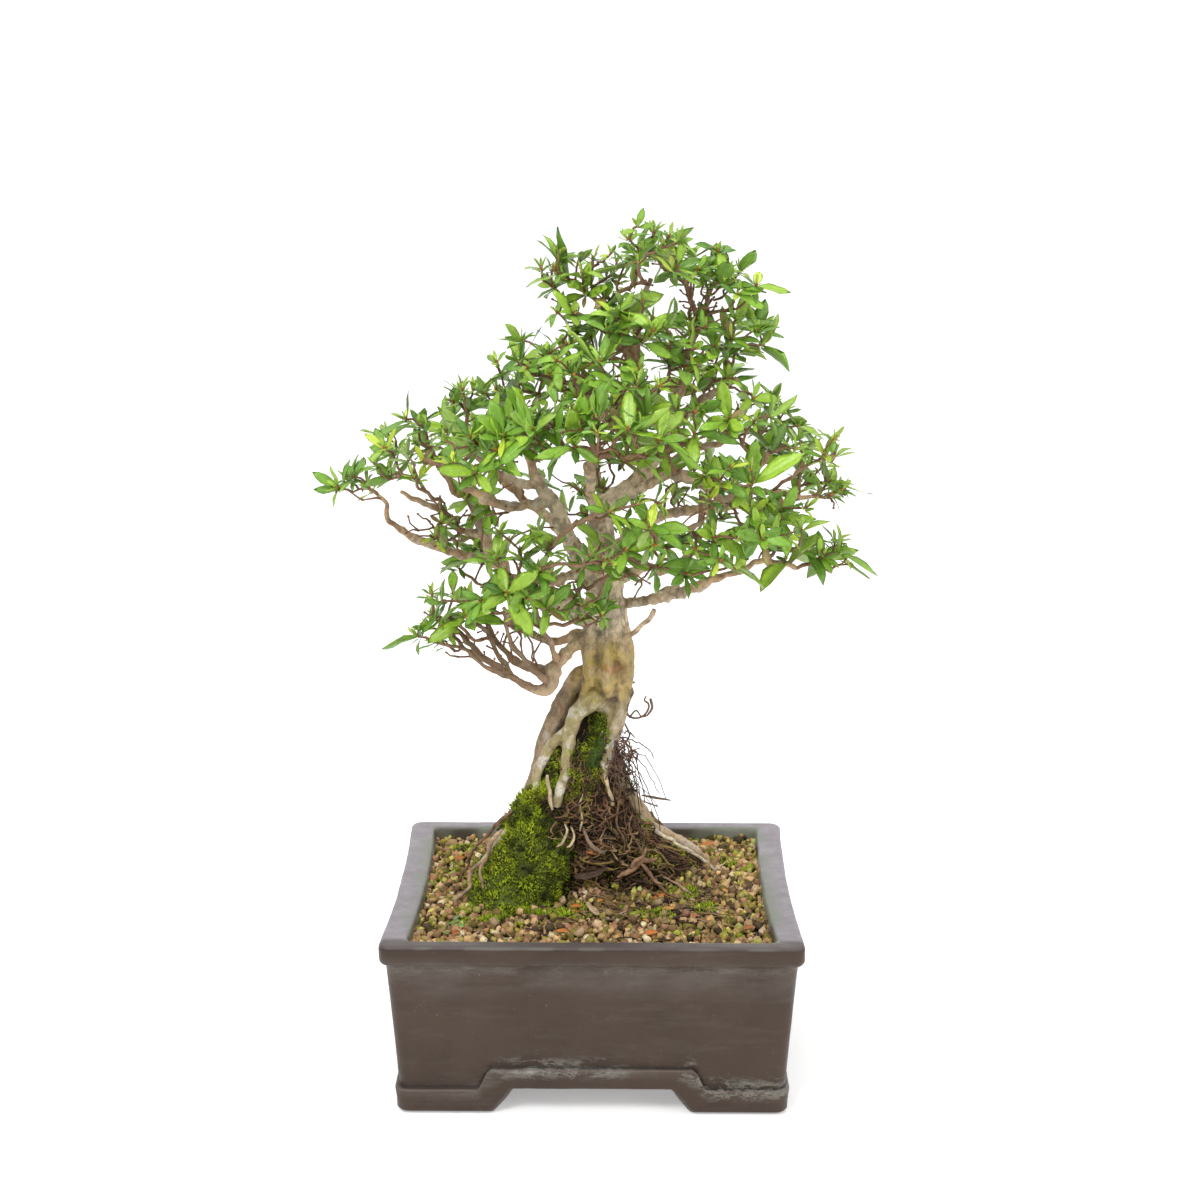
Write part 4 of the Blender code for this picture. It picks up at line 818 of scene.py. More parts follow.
def pot_paint(grid, points, band):
    """Three painted values for each point: how clean the clay is, how near the band's top edge, where lime
    gathers, and a painted highlight over 0.5 and a painted shade under it across that edge."""
    x, y, z = np.abs(points[:, 0]), np.abs(points[:, 1]), points[:, 2]
    to_edge = POT_HALF[1] - np.maximum(y, x - POT_HALF[0] + POT_HALF[1])
    lip_edge = smooth_step(POT_HEIGHT - 3, POT_HEIGHT - 0.5, z) * smooth_step(3.0, 0.2, to_edge)
    clean = 1 - 0.35 * lip_edge * smooth_step(-0.1, 0.5, noise(points, 14, 2))
    inside = (x < POT_INSIDE[0] + 1.5) & (y < POT_INSIDE[1] + 1.5) & (z > 60)
    clean -= inside * np.clip(0.55 + 0.5 * layered(points, 18, 12, 3), 0, 0.85)
    outside = np.arange(len(grid)) < OUTSIDE_RINGS
    near_band = smooth_step(9, 1.0, np.abs(grid[..., 2] - band[None] - 0.5)) * outside[:, None]
    patchy = smooth_step(-0.45, 0.35, noise(points, 34, 27) + 0.6 * points[:, 0] / 100 + 0.2)
    lime = np.concatenate([near_band.ravel(), [0, 0]]) * patchy
    # Blue: a painted highlight and a painted shade line across the band's top edge, 0.5 elsewhere
    drawn = np.full(len(grid), 0.5)
    drawn[BAND_EDGE_RING:BAND_EDGE_RING + len(BAND_EDGE_HIGHLIGHT_AND_SHADE)] = BAND_EDGE_HIGHLIGHT_AND_SHADE
    drawn = np.concatenate([np.repeat(drawn, grid.shape[1]), [0.5, 0.5]])
    return np.stack([np.clip(clean, 0, 1), lime, drawn], -1)


def drill(pot, x):
    """Take an upright round cylinder away from the pot's floor."""
    points, faces = tube([(x, 0, 5.0), (x, 0, 30.0)], DRAIN_RADIUS, 40, blunt=0.05)
    hole = link_object("drain_hole", plain_mesh("drain_hole", points, faces))
    bpy.context.view_layer.update()
    cut = pot.modifiers.new("drain", "BOOLEAN")
    cut.operation, cut.object, cut.solver = "DIFFERENCE", hole, "EXACT"
    solid = with_modifiers(pot)
    pot.modifiers.clear()
    pot.data = solid
    bpy.data.objects.remove(hole)


def build_pot():
    """The rings of the profile, swollen a little by noise as hand-worked clay is, with both ends closed and
    the two drain holes drilled last."""
    path = rim_path()
    grid, band = pot_rings(path)
    outward = unit(grid * (1, 1, 0) + 1e-9)
    swell = 0.28 * layered(grid, 26, 3, 2) + 0.12 * layered(grid, 6, 5, 2)
    grid += outward * swell[..., None] * (grid[..., 2:] > 3)
    grid[..., 2] += 0.18 * noise(grid, 22, 9) * (grid[..., 2] > 90)
    points = np.vstack([grid.reshape(-1, 3), [(0, 0, FLOOR_UNDERSIDE), (0, 0, FLOOR_TOP)]])
    rings, sides = grid.shape[:2]
    mesh = Mesh()
    mesh.add(points, [ring_faces(rings, sides), *end_caps(rings, sides)], pot_paint(grid, points, band))
    pot = mesh.build("pot_body", clay_material(), "glazed_ceramic", ("pot",))
    for x in (-DRAIN_X, DRAIN_X):
        drill(pot, x)


# Wood


def fuse(name, tubes, voxel, passes):
    """One skin round overlapping tubes: cells of the given size, then averaged so that joints flow."""
    mesh = Mesh()
    for points, faces in tubes:
        mesh.add(points, faces)
    obj = link_object(name, plain_mesh(name, np.concatenate(mesh.points), mesh.faces))
    cells = obj.modifiers.new("cells", "REMESH")
    cells.mode, cells.voxel_size, cells.use_smooth_shade = "VOXEL", voxel * MM, True
    even = obj.modifiers.new("even", "SMOOTH")
    even.factor, even.iterations = 0.5, passes
    bpy.context.view_layer.update()
    skin = with_modifiers(obj)
    bpy.data.objects.remove(obj)
    return skin


def vertex_arrays(mesh):
    """A mesh's places in millimetres and its normals."""
    points, normals = np.empty(len(mesh.vertices) * 3), np.empty(len(mesh.vertices) * 3)
    mesh.vertices.foreach_get("co", points)
    mesh.vertices.foreach_get("normal", normals)
    return points.reshape(-1, 3) / MM, normals.reshape(-1, 3)


def between(first, second, share):
    """The first colour at share 0, the second at share 1, and mixed in proportion between."""
    return np.asarray(first) * (1 - share) + np.asarray(second) * share


def blend(colours, share, colour):
    """Each row of colours with its own share, 0 to 1, of one more colour."""
    share = np.clip(share, 0, 1)[:, None]
    return colours * (1 - share) + np.asarray(colour) * share


def bark_tint(points):
    """Painted by place: tan limbs, an olive waist, a brown left leg, pale crusted front roots."""
    x, y, z = points.T
    colours = np.tile((0.53, 0.365, 0.215), (len(points), 1))
    colours = blend(colours, smooth_step(300, 420, z) * 0.6, (0.42, 0.265, 0.150))
    stem = smooth_step(258, 280, z) * smooth_step(405, 350, z) * smooth_step(62, 30, np.hypot(x - 5, y - 8))
    colours = blend(colours, stem * 0.8, (0.78, 0.64, 0.45))
    low_limb = smooth_step(-18, -34, x) * smooth_step(236, 246, z) * smooth_step(310, 290, z)
    colours = blend(colours, low_limb * 0.75, (0.155, 0.095, 0.052))
    waist = smooth_step(212, 230, z) * smooth_step(280, 262, z) * smooth_step(26, 18, np.abs(x - 8))
    colours = blend(colours, waist * np.clip(0.78 + 0.4 * noise(points, 11, 41), 0, 1), (0.38, 0.275, 0.045))
    colours = blend(colours, waist * smooth_step(0.15, 0.6, noise(points, 8, 42)) * 0.6, (0.48, 0.35, 0.18))
    shade = waist * smooth_step(0.1, 0.6, noise(points * (1.2, 1.2, 0.8), 9, 44)) * 0.3
    colours = blend(colours, shade, (0.115, 0.085, 0.035))
    front = smooth_step(9, 0, y) * smooth_step(238, 226, z)
    colours = blend(colours, front * 0.8, (0.31, 0.27, 0.095))
    crust = smooth_step(0.0, 0.4, layered(points, 7, 43, 3)) * smooth_step(240, 214, z)
    colours = blend(colours, crust * (0.4 + 0.5 * front), (0.68, 0.64, 0.55))
    leg = smooth_step(-6, -20, x) * smooth_step(4, 9, y) * smooth_step(244, 230, z)
    colours = blend(colours, leg * 0.8, (0.135, 0.088, 0.042))
    right = smooth_step(8, 16, x) * smooth_step(236, 222, z) * smooth_step(185, 195, z)
    colours = blend(colours, right * 0.65, (0.44, 0.33, 0.235))
    low_down = smooth_step(175, 120, z) * smooth_step(44, 30, np.abs(x))
    colours = blend(colours, low_down * 0.5, (0.20, 0.145, 0.09))
    scar = smooth_step(7, 2, np.linalg.norm((points - (12, -1, 252)) * (0.7, 0.5, 1.2), axis=1))
    colours = blend(colours, scar * 0.9, (0.34, 0.15, 0.045))
    pits = smooth_step(0.10, 0.5, layered(points * (1, 1, 0.8), 4.6, 51, 3)) * smooth_step(255, 275, z)
    colours = blend(colours, pits * 0.62, (0.125, 0.072, 0.040))
    lichen = smooth_step(0.3, 0.75, layered(points, 13, 47, 3)) * smooth_step(262, 280, z)
    colours = blend(colours, lichen * 0.6, (0.46, 0.40, 0.31))
    return colours * (1 + 0.22 * layered(points, 4.5, 49, 3))[:, None]


def hollows(mesh, points, normals, passes):
    """How far each point lies below its surroundings, in mm: the points averaged with their neighbours
    a number of times, less the points themselves, measured along the normal."""
    ends = np.empty(len(mesh.edges) * 2, dtype=np.int64)
    mesh.edges.foreach_get("vertices", ends)
    a, b = ends.reshape(-1, 2).T
    count = len(points)
    joined = np.bincount(np.concatenate([a, b]), minlength=count).clip(1)
    moved = points.copy()
    for _ in range(passes):
        total = [np.bincount(a, moved[b, k], count) + np.bincount(b, moved[a, k], count) for k in range(3)]
        moved = 0.3 * moved + 0.7 * np.stack(total, -1) / joined[:, None]
    return ((moved - points) * normals).sum(1)


# Muscles that stand out on the trunk's waist and run into the limbs above and the legs below
WAIST_MUSCLES = [
    [(20, 8, 236, 4), (20.5, 5, 250, 5.5), (17, 2, 264, 5), (13, 4, 280, 4), (10, 6, 296, 3)],
    [(-2, 6, 240, 4), (-3, 4, 252, 5), (-2, 4, 266, 4.5), (0, 6, 280, 3.5)],
    [(10, 2, 232, 4), (9, -0.5, 246, 4.5), (8, 0, 260, 4), (7, 3, 276, 3)],
    [(9, 2, 198, 2.5), (12, 2, 210, 3.2), (16, 3, 224, 3.8), (17, 4, 240, 3.5)],
]
# Limbs thicker than the first radius are fused with the trunk, and thinner than the second one stay tubes
FUSED_RADIUS = 2.5
TUBE_RADIUS = 3.1
SCAB_HEIGHT = 2.3


def thick_tubes(curves):
    """Tubes for the trunk, the exposed roots, the muscles on the waist and the limbs' thick stretches."""
    tubes = [tube(*split(spline(TRUNK, 2.0)), 40, 0.05, 1)]
    for k, rows in enumerate(ROOTS.values()):
        tubes.append(tube(*split(spline(rows, 1.6)), 18, 0.16, 20 + k))
    for rows in WAIST_MUSCLES:
        tubes.append(tube(*split(spline(rows, 1.6)), 16, 0.12, 50))
    for k, curve in enumerate(curves):
        path, radii = split(curve)
        thick = radii > FUSED_RADIUS
        if thick.sum() > 3:
            tubes.append(tube(path[thick], radii[thick], 14, 0.10, 80 + k))
    return tubes


def build_wood(curves, bark):
    """One skin round the thick wood, raised along its normals by broad and fine noise and by a scab on the
    lowest right limb, then painted by place, with painted shade in its hollows and a painted highlight on its
    ridges."""
    skin = fuse("wood", thick_tubes(curves), 0.95, 3)
    points, normals = vertex_arrays(skin)
    x, y, z = points.T
    broad = layered(points * (1, 1, 0.45), 13, 63, 2)
    broad = broad * np.interp(z, [190, 225, 262, 285], [0.8, 1.6, 1.4, 0.8])
    fine = layered(points * (1, 1, 0.6), 3.6, 61, 3)
    fine = fine * np.interp(z, [190, 225, 262, 290], [0.35, 0.4, 0.5, 0.95])
    scab = smooth_step(0.0, 0.5, noise(points, 5, 65)) * smooth_step(32, 40, x) * smooth_step(84, 74, x)
    scab *= smooth_step(14, 8, y) * smooth_step(284, 290, z) * smooth_step(316, 310, z)
    points = points + normals * (broad + SCAB_HEIGHT * scab + fine)[:, None]
    skin.vertices.foreach_set("co", (points * MM).ravel())
    # Painted light: shade painted into the near and wide hollows, and a painted highlight on the ridges
    near, wide = hollows(skin, points, normals, 6), hollows(skin, points, normals, 60)
    dark = smooth_step(0.05, 0.45, near) * 0.5 + smooth_step(0.3, 2.0, wide) * 0.42
    colours = blend(bark_tint(points), dark, (0.085, 0.052, 0.026))
    paint(skin, blend(colours, smooth_step(-0.05, -0.5, near) * 0.35, (0.66, 0.56, 0.42)))
    finish_piece("trunk_and_roots", skin, bark, ("trunk",))


def thin_limbs(curves):
    """The limbs' thinner stretches as tubes with rounded knots, painted a little darker than the stems."""
    thin = Mesh()
    for k, curve in enumerate(curves):
        path, radii = split(curve)
        start = int(np.argmax(radii < TUBE_RADIUS))
        knots = 1 + 0.16 * np.maximum(0, np.sin(np.arange(len(radii)) * 0.55 + k)) ** 6
        points, faces = tube(path[start:], (radii * knots)[start:], 10, 0.24, 120 + k)
        thin.add(points, faces, bark_tint(points) * (0.92, 0.86, 0.80))
    return thin


# Twigs and leaves


class Twigs:
    """A branching graph that starts from points on the limbs. Every new tip joins the nearest node that
    leads its way, along a bent path, and a twig's thickness follows from how many tips it feeds."""

    def __init__(self, curves, rng):
        """Nodes at every other point of the limbs."""
        self.places = np.vstack([curve[::2, :3] for curve in curves])
        self.ways = np.vstack([unit(np.gradient(curve[:, :3], axis=0))[::2] for curve in curves])
        self.radii = np.concatenate([curve[::2, 3] for curve in curves])
        self.parents = np.full(len(self.places), -1)
        self.wood = len(self.places)
        self.runs = []
        self.rng = rng

    def grow(self, tip, bare):
        """Join a tip by a bent path: it costs its length, any drop and any way inwards, less what it gains
        by going on the joint's own way. Returns the tip's direction."""
        gap = tip - self.places
        length = np.linalg.norm(gap, axis=1)
        lead = (unit(gap) * self.ways).sum(1)
        outer = np.linalg.norm(self.places[:, :2], axis=1) - np.linalg.norm(tip[:2])
        cost = length + 0.9 * np.maximum(0, -gap[:, 2] + 2) + 0.35 * np.maximum(0, outer) - 5.0 * lead
        cost[length < 6] += 60
        joint = int(np.argmin(cost))
        length = length[joint]
        way = unit(self.ways[joint] * 0.5 + unit(gap[joint]) + (0, 0, 0.25))
        bend = self.places[joint] + way * length * 0.45 + self.rng.normal(size=3) * length * 0.05
        steps = max(3, int(length / 4.0))
        t = np.linspace(0, 1, steps + 1)[:, None]
        path = (1 - t) ** 2 * self.places[joint] + 2 * t * (1 - t) * bend + t ** 2 * tip
        path[1:-1] += self.rng.normal(size=(steps - 1, 3)) * 0.55
        first = len(self.places)
        self.places = np.vstack([self.places, path[1:]])
        self.ways = np.vstack([self.ways, unit(np.gradient(path, axis=0))[1:]])
        self.radii = np.concatenate([self.radii, np.zeros(steps)])
        self.parents = np.concatenate([self.parents, [joint], np.arange(first, first + steps - 1)])
        self.runs.append((joint, first, first + steps, bare))
        return unit(path[-1] - path[-3])

    def thickness(self):
        """Radius at each node, from a power of the number of tips that it feeds."""
        feeds = np.zeros(len(self.places))
        for _, _, last, bare in self.runs:
            feeds[last - 1] += 0.6 if bare else 1.0
        for k in range(len(self.places) - 1, self.wood - 1, -1):
            feeds[self.parents[k]] += feeds[k]
        grown = 0.42 + 0.26 * np.maximum(feeds, 0.5) ** 0.62
        return np.where(self.parents < 0, np.minimum(self.radii, grown * 1.1), np.minimum(grown, 2.2))

    def mesh(self, mesh):
        """Add a six-sided tube for each twig, redder where it is thin and young."""
        size = self.thickness()
        for k, (joint, first, last, bare) in enumerate(self.runs):
            nodes = np.r_[joint, first:last]
            path, radii = self.places[nodes], size[nodes]
            radii[0] = min(radii[0], radii[1] * 1.25)
            if bare:
                radii = radii * np.linspace(1, 0.75, len(radii))
            points, faces = tube(path, radii, 6, 0.18, 300 + k)
            young = np.clip((1.1 - np.repeat(radii, 6)) / 0.6, 0, 1)
            young = np.r_[young, young[0], young[-1]][:, None]
            tone = 1 + 0.25 * noise(points, 7, 71)[:, None]
            mesh.add(points, faces, between((0.235, 0.125, 0.062), (0.20, 0.078, 0.040), young) * tone)


LEAF_STATIONS = np.array([0, 0.14, 0.36, 0.6, 0.82, 1.0])
LEAF_WIDTHS = np.array([0.10, 0.46, 0.88, 1.0, 0.66, 0.03])
LEAF_SIDES = np.array([-1, -0.5, 0, 0.5, 1])
LEAF_THICKNESS = 0.22


def leaf_faces():
    """Top grid 6 by 5, and an under side that shares its rim."""
    rows, cols = len(LEAF_STATIONS), len(LEAF_SIDES)
    top = np.arange(rows * cols).reshape(rows, cols)
    low = top.copy()
    low[1:-1, 1:-1] = rows * cols + np.arange((rows - 2) * (cols - 2)).reshape(rows - 2, cols - 2)
    return np.concatenate([grid_quads(top)[:, ::-1], grid_quads(low)])


LEAF_QUADS = leaf_faces()


def add_leaves(mesh, base, way, up, length, width, fold, droop, colour):
    """Many leaves at once. Along the blade the half width follows LEAF_WIDTHS; the two halves rise from
    the midrib by the fold, the blade bends down with the square of the distance from its base, and its
    edges wave a little."""
    up = unit(up - (up * way).sum(1)[:, None] * way)
    side = np.cross(way, up)
    u, v = LEAF_STATIONS[None, :, None], LEAF_SIDES[None, None, :]
    long, wide, lift, bend = (values[:, None, None] for values in (length, width, fold, droop))
    half = wide * LEAF_WIDTHS[None, :, None] * np.ones_like(v)
    ahead = long * (u - 0.10 * bend * u ** 2) + 0 * v
    aside = half * v * np.cos(lift)
    rise = half * np.abs(v) * np.sin(lift) - 0.32 * long * bend * u ** 2
    rise = rise + 0.025 * long * np.sin(u * 9 + long * 7) * np.abs(v)
    steps = zip((ahead, aside, rise), (way, side, up))
    top = base[:, None, None] + sum(step[..., None] * axis[:, None, None] for step, axis in steps)
    low = top[:, 1:-1, 1:-1] - LEAF_THICKNESS * up[:, None, None]
    count = len(base)
    points = np.concatenate([top.reshape(count, -1, 3), low.reshape(count, -1, 3)], 1)
    per = points.shape[1]
    faces = (LEAF_QUADS[None] + (np.arange(count) * per)[:, None, None]).reshape(-1, 4)
    flat = np.stack(np.broadcast_arrays(LEAF_STATIONS[:, None], (LEAF_SIDES[None, :] + 1) / 2), -1)
    uv = np.concatenate([flat.reshape(-1, 2), flat[1:-1, 1:-1].reshape(-1, 2)])
    shade = np.repeat(colour[:, None], per, 1)
    under = slice(flat.shape[0] * flat.shape[1], None)
    shade[:, under] = shade[:, under] * 0.72 + np.array(UNDERSIDE_GREEN) * 0.28
    mesh.add(points, [faces], shade.reshape(-1, 3), np.tile(uv, (count, 1)))


def pad_places(rng, centre, half, count):
    """Places inside an ellipsoid, thinner below, kept apart by a distance that gives way slowly."""
    places, spacing = [], 12.5
    while len(places) < count:
        way = unit(rng.normal(size=3))
        if way[2] < -0.25 and rng.uniform() < 0.55:
            continue
        place = np.array(centre) + way * half * rng.uniform(0.35, 1.08)
        if all(np.linalg.norm(place - other) > spacing for other in places):
            places.append(place)
        else:
            spacing *= 0.99
    return places


GREENS = np.array([
    (0.125, 0.290, 0.028), (0.165, 0.360, 0.034), (0.220, 0.430, 0.042), (0.290, 0.500, 0.045),
    (0.390, 0.590, 0.050), (0.085, 0.215, 0.032), (0.500, 0.670, 0.055), (0.240, 0.370, 0.105),
])
GREEN_SHARES = np.array([0.17, 0.21, 0.20, 0.15, 0.09, 0.06, 0.06, 0.06])
YOUNG_GREEN = (0.42, 0.60, 0.07)
UNDERSIDE_GREEN = (0.20, 0.26, 0.12)
OLD_LEAF = (0.30, 0.20, 0.07)
BUD_COLOURS = np.array([(0.42, 0.15, 0.035), (0.33, 0.24, 0.05), (0.24, 0.085, 0.04), (0.36, 0.10, 0.05)])
# Leaf lengths: share of the whorls, shortest, longest; and the longest leaf allowed at a height
LEAF_MIX = ((0.17, 22.0, 27.0), (0.40, 16.0, 20.5), (0.23, 10.5, 14.5), (0.20, 7.0, 10.0))
LONGEST_LEAF = ((490, 492, 500, 512), (40, 21, 20, 12))


def whorl(rng, leaves, buds, centre, axis, size, count, young):
    """Leaves spread round a twig's tip in one loose turn, with a few short young ones round the bud."""
    aside = unit(np.cross(axis, rng.normal(size=3)))
    across = np.cross(axis, aside)
    turn = rng.uniform(0, 6.28) + np.arange(count) * 2.4 + rng.normal(size=count) * 0.3
    out = np.cos(turn)[:, None] * aside + np.sin(turn)[:, None] * across
    lift = np.radians(rng.uniform(-8, 58, count))
    way = unit(out * np.cos(lift)[:, None] + axis * np.sin(lift)[:, None] + np.array((0, 0, -0.06)))
    length = size * np.clip(rng.normal(0.86, 0.24, count), 0.42, 1.35)
    base = centre - axis * rng.uniform(0, 4.0, count)[:, None] + out * 0.5
    leaning = rng.choice(len(GREENS), p=GREEN_SHARES)
    kind = np.where(rng.uniform(size=count) < 0.5, leaning, rng.choice(len(GREENS), count, p=GREEN_SHARES))
    kind = np.where(length > 17, np.minimum(kind, 3), kind)
    tone = GREENS[kind] * (1.08, 1.02, 0.84) * rng.uniform(0.82, 1.18, (count, 1))
    old = rng.uniform(size=count) < 0.025
    tone[old] = OLD_LEAF
    length = np.where(old, length * 0.7, length)
    width = length * np.clip(0.158 + 0.0014 * length + rng.normal(size=count) * 0.02, 0.125, 0.225)
    fold = np.radians(rng.uniform(3, 30, count))
    droop = rng.uniform(-0.2, 0.9, count)
    add_leaves(leaves, base, way, np.tile(axis, (count, 1)), length, width, fold, droop, tone)
    if young:
        turn = rng.uniform(0, 6.28) + np.arange(young) * 2.1
        out = np.cos(turn)[:, None] * aside + np.sin(turn)[:, None] * across
        way = unit(out * rng.uniform(0.25, 1.0, (young, 1)) + axis)
        length = rng.uniform(3.5, 9.5, young)
        tone = np.array(YOUNG_GREEN) * rng.uniform(0.6, 1.1, (young, 1))
        fold, droop = np.radians(rng.uniform(15, 40, young)), rng.uniform(-0.4, 0.2, young)
        up = axis * 0.3 - out
        add_leaves(leaves, centre + out * 0.4, way, up, length, length * 0.16, fold, droop, tone)
    path = centre + axis * np.linspace(-1.2, 2.0, 5)[:, None]
    colour = BUD_COLOURS[rng.integers(len(BUD_COLOURS))]
    buds.add(*tube(path, np.array([0.5, 0.95, 1.0, 0.7, 0.2]) * rng.uniform(0.75, 1.2), 6), colour)


def gnarled(curve, amount):
    """The same limb with kinks: two sizes of noise, read by place so that limbs that meet stay together,
    and a knot where the noise peaks."""
    points = curve[:, :3]
    kink = noise_vectors(points, 11, 201) + 0.55 * noise_vectors(points, 4.5, 211)
    slim = np.clip((7.5 - curve[:, 3:]) / 4.5, 0.1, 1)
    knot = 1 + 0.55 * smooth_step(0.35, 0.8, noise(points, 7, 221)) + 0.10 * noise(points, 3, 223)
    slimmer = 1 - 0.14 * smooth_step(2.0, 3.2, curve[:, 3]) * smooth_step(8.5, 6.0, curve[:, 3])
    return np.column_stack([points + kink * slim * amount, curve[:, 3] * knot * slimmer])


LEAF_PIECES = ("leaves_top", "leaves_left", "leaves_middle", "leaves_right")


def leaf_piece(place):
    """Which of the four leaf pieces a place belongs to: the top, the left, the middle or the right."""
    if place[2] > 432:
        return 0
    if place[0] < -45:
        return 1
    return 3 if place[0] > 50 else 2


def crown_tips(rng, wood):
    """Places of all leafy and bare tips, the ones nearest to the limbs first."""
    tips = []
    for centre, half, count in FOLIAGE.values():
        tips += [(place, "leafy") for place in pad_places(rng, centre, half, round(count * PAD_SHARE))]
        below = np.array(centre) - (0, 0, half[2] * 0.6)
        tips += [(place, "bare") for place in pad_places(rng, below, np.array(half) * 0.95, BARE_PER_PAD)]
    for centre, half, leafy, bare in UNDERGROWTH:
        tips += [(place, "leafy") for place in pad_places(rng, centre, half, leafy)]
        tips += [(place, "bare") for place in pad_places(rng, centre, half, bare)]
    return sorted(tips, key=lambda tip: np.linalg.norm(wood - tip[0], axis=1).min())


def build_crown(curves, thin):
    """Grow the twigs to all tips, then set a whorl of leaves with a bud on each leafy one and a bud alone
    on each bare one."""
    rng = np.random.default_rng(2026)
    twigs = Twigs([curve for curve in curves if curve[-1, 2] > 240], rng)
    tips = [(place, twigs.grow(place, kind == "bare"), kind) for place, kind in crown_tips(rng, twigs.places)]
    leaves, buds = [Mesh() for _ in LEAF_PIECES], Mesh()
    shares = np.cumsum([share for share, _, _ in LEAF_MIX])
    for place, way, kind in tips:
        if kind == "bare":
            bud = place + way * np.linspace(-0.5, 1.2, 4)[:, None]
            buds.add(*tube(bud, [0.5, 0.8, 0.7, 0.25], 6), (0.20, 0.10, 0.06))
            continue
        axis = unit(way * 0.7 + np.array((0, -0.10, 0.5)) + rng.normal(size=3) * 0.26)
        _, small, large = LEAF_MIX[int(np.searchsorted(shares, rng.uniform()).clip(0, len(LEAF_MIX) - 1))]
        size = min(rng.uniform(small, large), np.interp(place[2], *LONGEST_LEAF))
        count = int(rng.integers(4, 7) if size > 21 else rng.integers(5, 9))
        whorl(rng, leaves[leaf_piece(place)], buds, place, axis, size, count, int(rng.integers(1, 6)))
    twigs.mesh(thin)
    return leaves, buds


# Root ball, moss and soil

# How lumpy each surface is: height of the lumps, seed and size of the lumps
BALL_SKIN = (3.4, 21, 12)
BANK_SKIN = (5.6, 31, 11)
TONGUE_SKIN = (2.5, 31, 11)


def skin_frame(table, height, turn, skin):
    """Place and outward direction on a lumpy table surface, from two small steps along it."""
    place = lumpy(table, height, turn, *skin)
    along = lumpy(table, height, turn + 0.02, *skin) - place
    up = lumpy(table, height + 0.8, turn, *skin) - place
    return place, unit(np.cross(along, up))


def spikes(mesh, places, outs, rng, length, radius, dark, bright):
    """Three-sided blades, each on a small triangle across its direction, with the tip leaning a little."""
    count = len(places)
    outs = unit(outs)
    aside = unit(np.cross(outs, unit(rng.normal(size=(count, 3)))))
    across = np.cross(outs, aside)
    size = radius * rng.uniform(0.7, 1.3, (count, 1))
    tall = length * rng.uniform(0.45, 1.3, (count, 1))
    turns = np.arange(3) * 2.094
    foot = places[:, None] - outs[:, None] * 0.4 + size[:, None] * (
        np.cos(turns)[None, :, None] * aside[:, None] + np.sin(turns)[None, :, None] * across[:, None])
    tip = places + outs * tall + rng.normal(size=(count, 3)) * tall * 0.35
    points = np.concatenate([foot, tip[:, None]], 1)
    faces = np.array([(0, 1, 3), (1, 2, 3), (2, 0, 3), (0, 2, 1)])
    faces = (faces[None] + (np.arange(count) * 4)[:, None, None]).reshape(-1, 3)
    tip_colour = between(dark, bright, rng.uniform(0, 1, (count, 1)))
    colours = np.repeat(tip_colour[:, None], 4, 1)
    # Painted shade: each blade's foot is painted at 0.55 of its tip colour, darker down between the blades
    colours[:, :3] *= 0.55
    mesh.add(points, [faces], colours.reshape(-1, 3))


MOSS_DARK, MOSS_BRIGHT, MOSS_WARM = np.array([(0.12, 0.155, 0.008), (0.46, 0.60, 0.022), (0.50, 0.56, 0.03)])
FULL_TURN = (0, 2 * np.pi)


def grow_moss(mesh, rng, table, count, heights, skin, tall, keep=None):
    """Blades scattered over a table's surface, on raised clumps, and only where keep says so, if given."""
    turn = rng.uniform(*FULL_TURN, count)
    height = heights[0] + (heights[1] - heights[0]) * rng.uniform(size=count)
    place, out = skin_frame(table, height, turn, skin)
    share = rng.uniform(size=count)
    if keep:
        chosen = keep(place) > share
        place, out = place[chosen], out[chosen]
    clump = noise(place, 5, 17)[:, None]
    # Painted light: blades that face up and blades on raised clumps are painted brighter, blades between the
    # clumps darker as painted shade, with a random tone over it
    light = 0.60 + 0.42 * out[:, 2:] + 0.95 * clump + 0.55 * noise(place, 13, 18)[:, None]
    light = np.clip(light, 0.14, 1.5)
    warm = np.clip(0.45 + 1.1 * noise(place, 12, 19), 0, 1)[:, None]
    foot, way = place + out * np.maximum(clump, -0.2) * 2.4, out + (0, 0, 0.35)
    spikes(mesh, foot, way, rng, tall, 0.62, MOSS_DARK * light, between(MOSS_BRIGHT, MOSS_WARM, warm) * light)


def wander(rng, height, turn, drop, drift, rise, steps, wobble):
    """A thread that creeps down the root ball, turning a little and standing off it in the middle."""
    t = np.linspace(0, 1, steps)
    turns = turn + drift * t + np.cumsum(rng.normal(size=steps)) * wobble
    off = rise * np.sin(np.pi * t) + np.abs(rng.normal(size=steps)) * 0.5 + 0.2
    path = lumpy(ROOT_BALL, height - drop * t, turns, *BALL_SKIN, off)
    return path + noise_vectors(path, 7, 300) * 0.9


ROOT_COLOURS = np.array([
    (0.135, 0.068, 0.034), (0.070, 0.036, 0.020), (0.190, 0.105, 0.055), (0.038, 0.021, 0.013),
    (0.30, 0.205, 0.105), (0.100, 0.052, 0.032), (0.22, 0.15, 0.045),
])
DARK_ROOT = (0.085, 0.05, 0.032)
BLACK_ROOT = (0.05, 0.028, 0.02)
CURLY_FIBRES, CREEPING_ROOTS, PROUD_THREADS = 620, 200, 120


def root_colour(rng, low, high):
    """One of the root colours at a random brightness."""
    return ROOT_COLOURS[rng.integers(len(ROOT_COLOURS))] * rng.uniform(low, high)


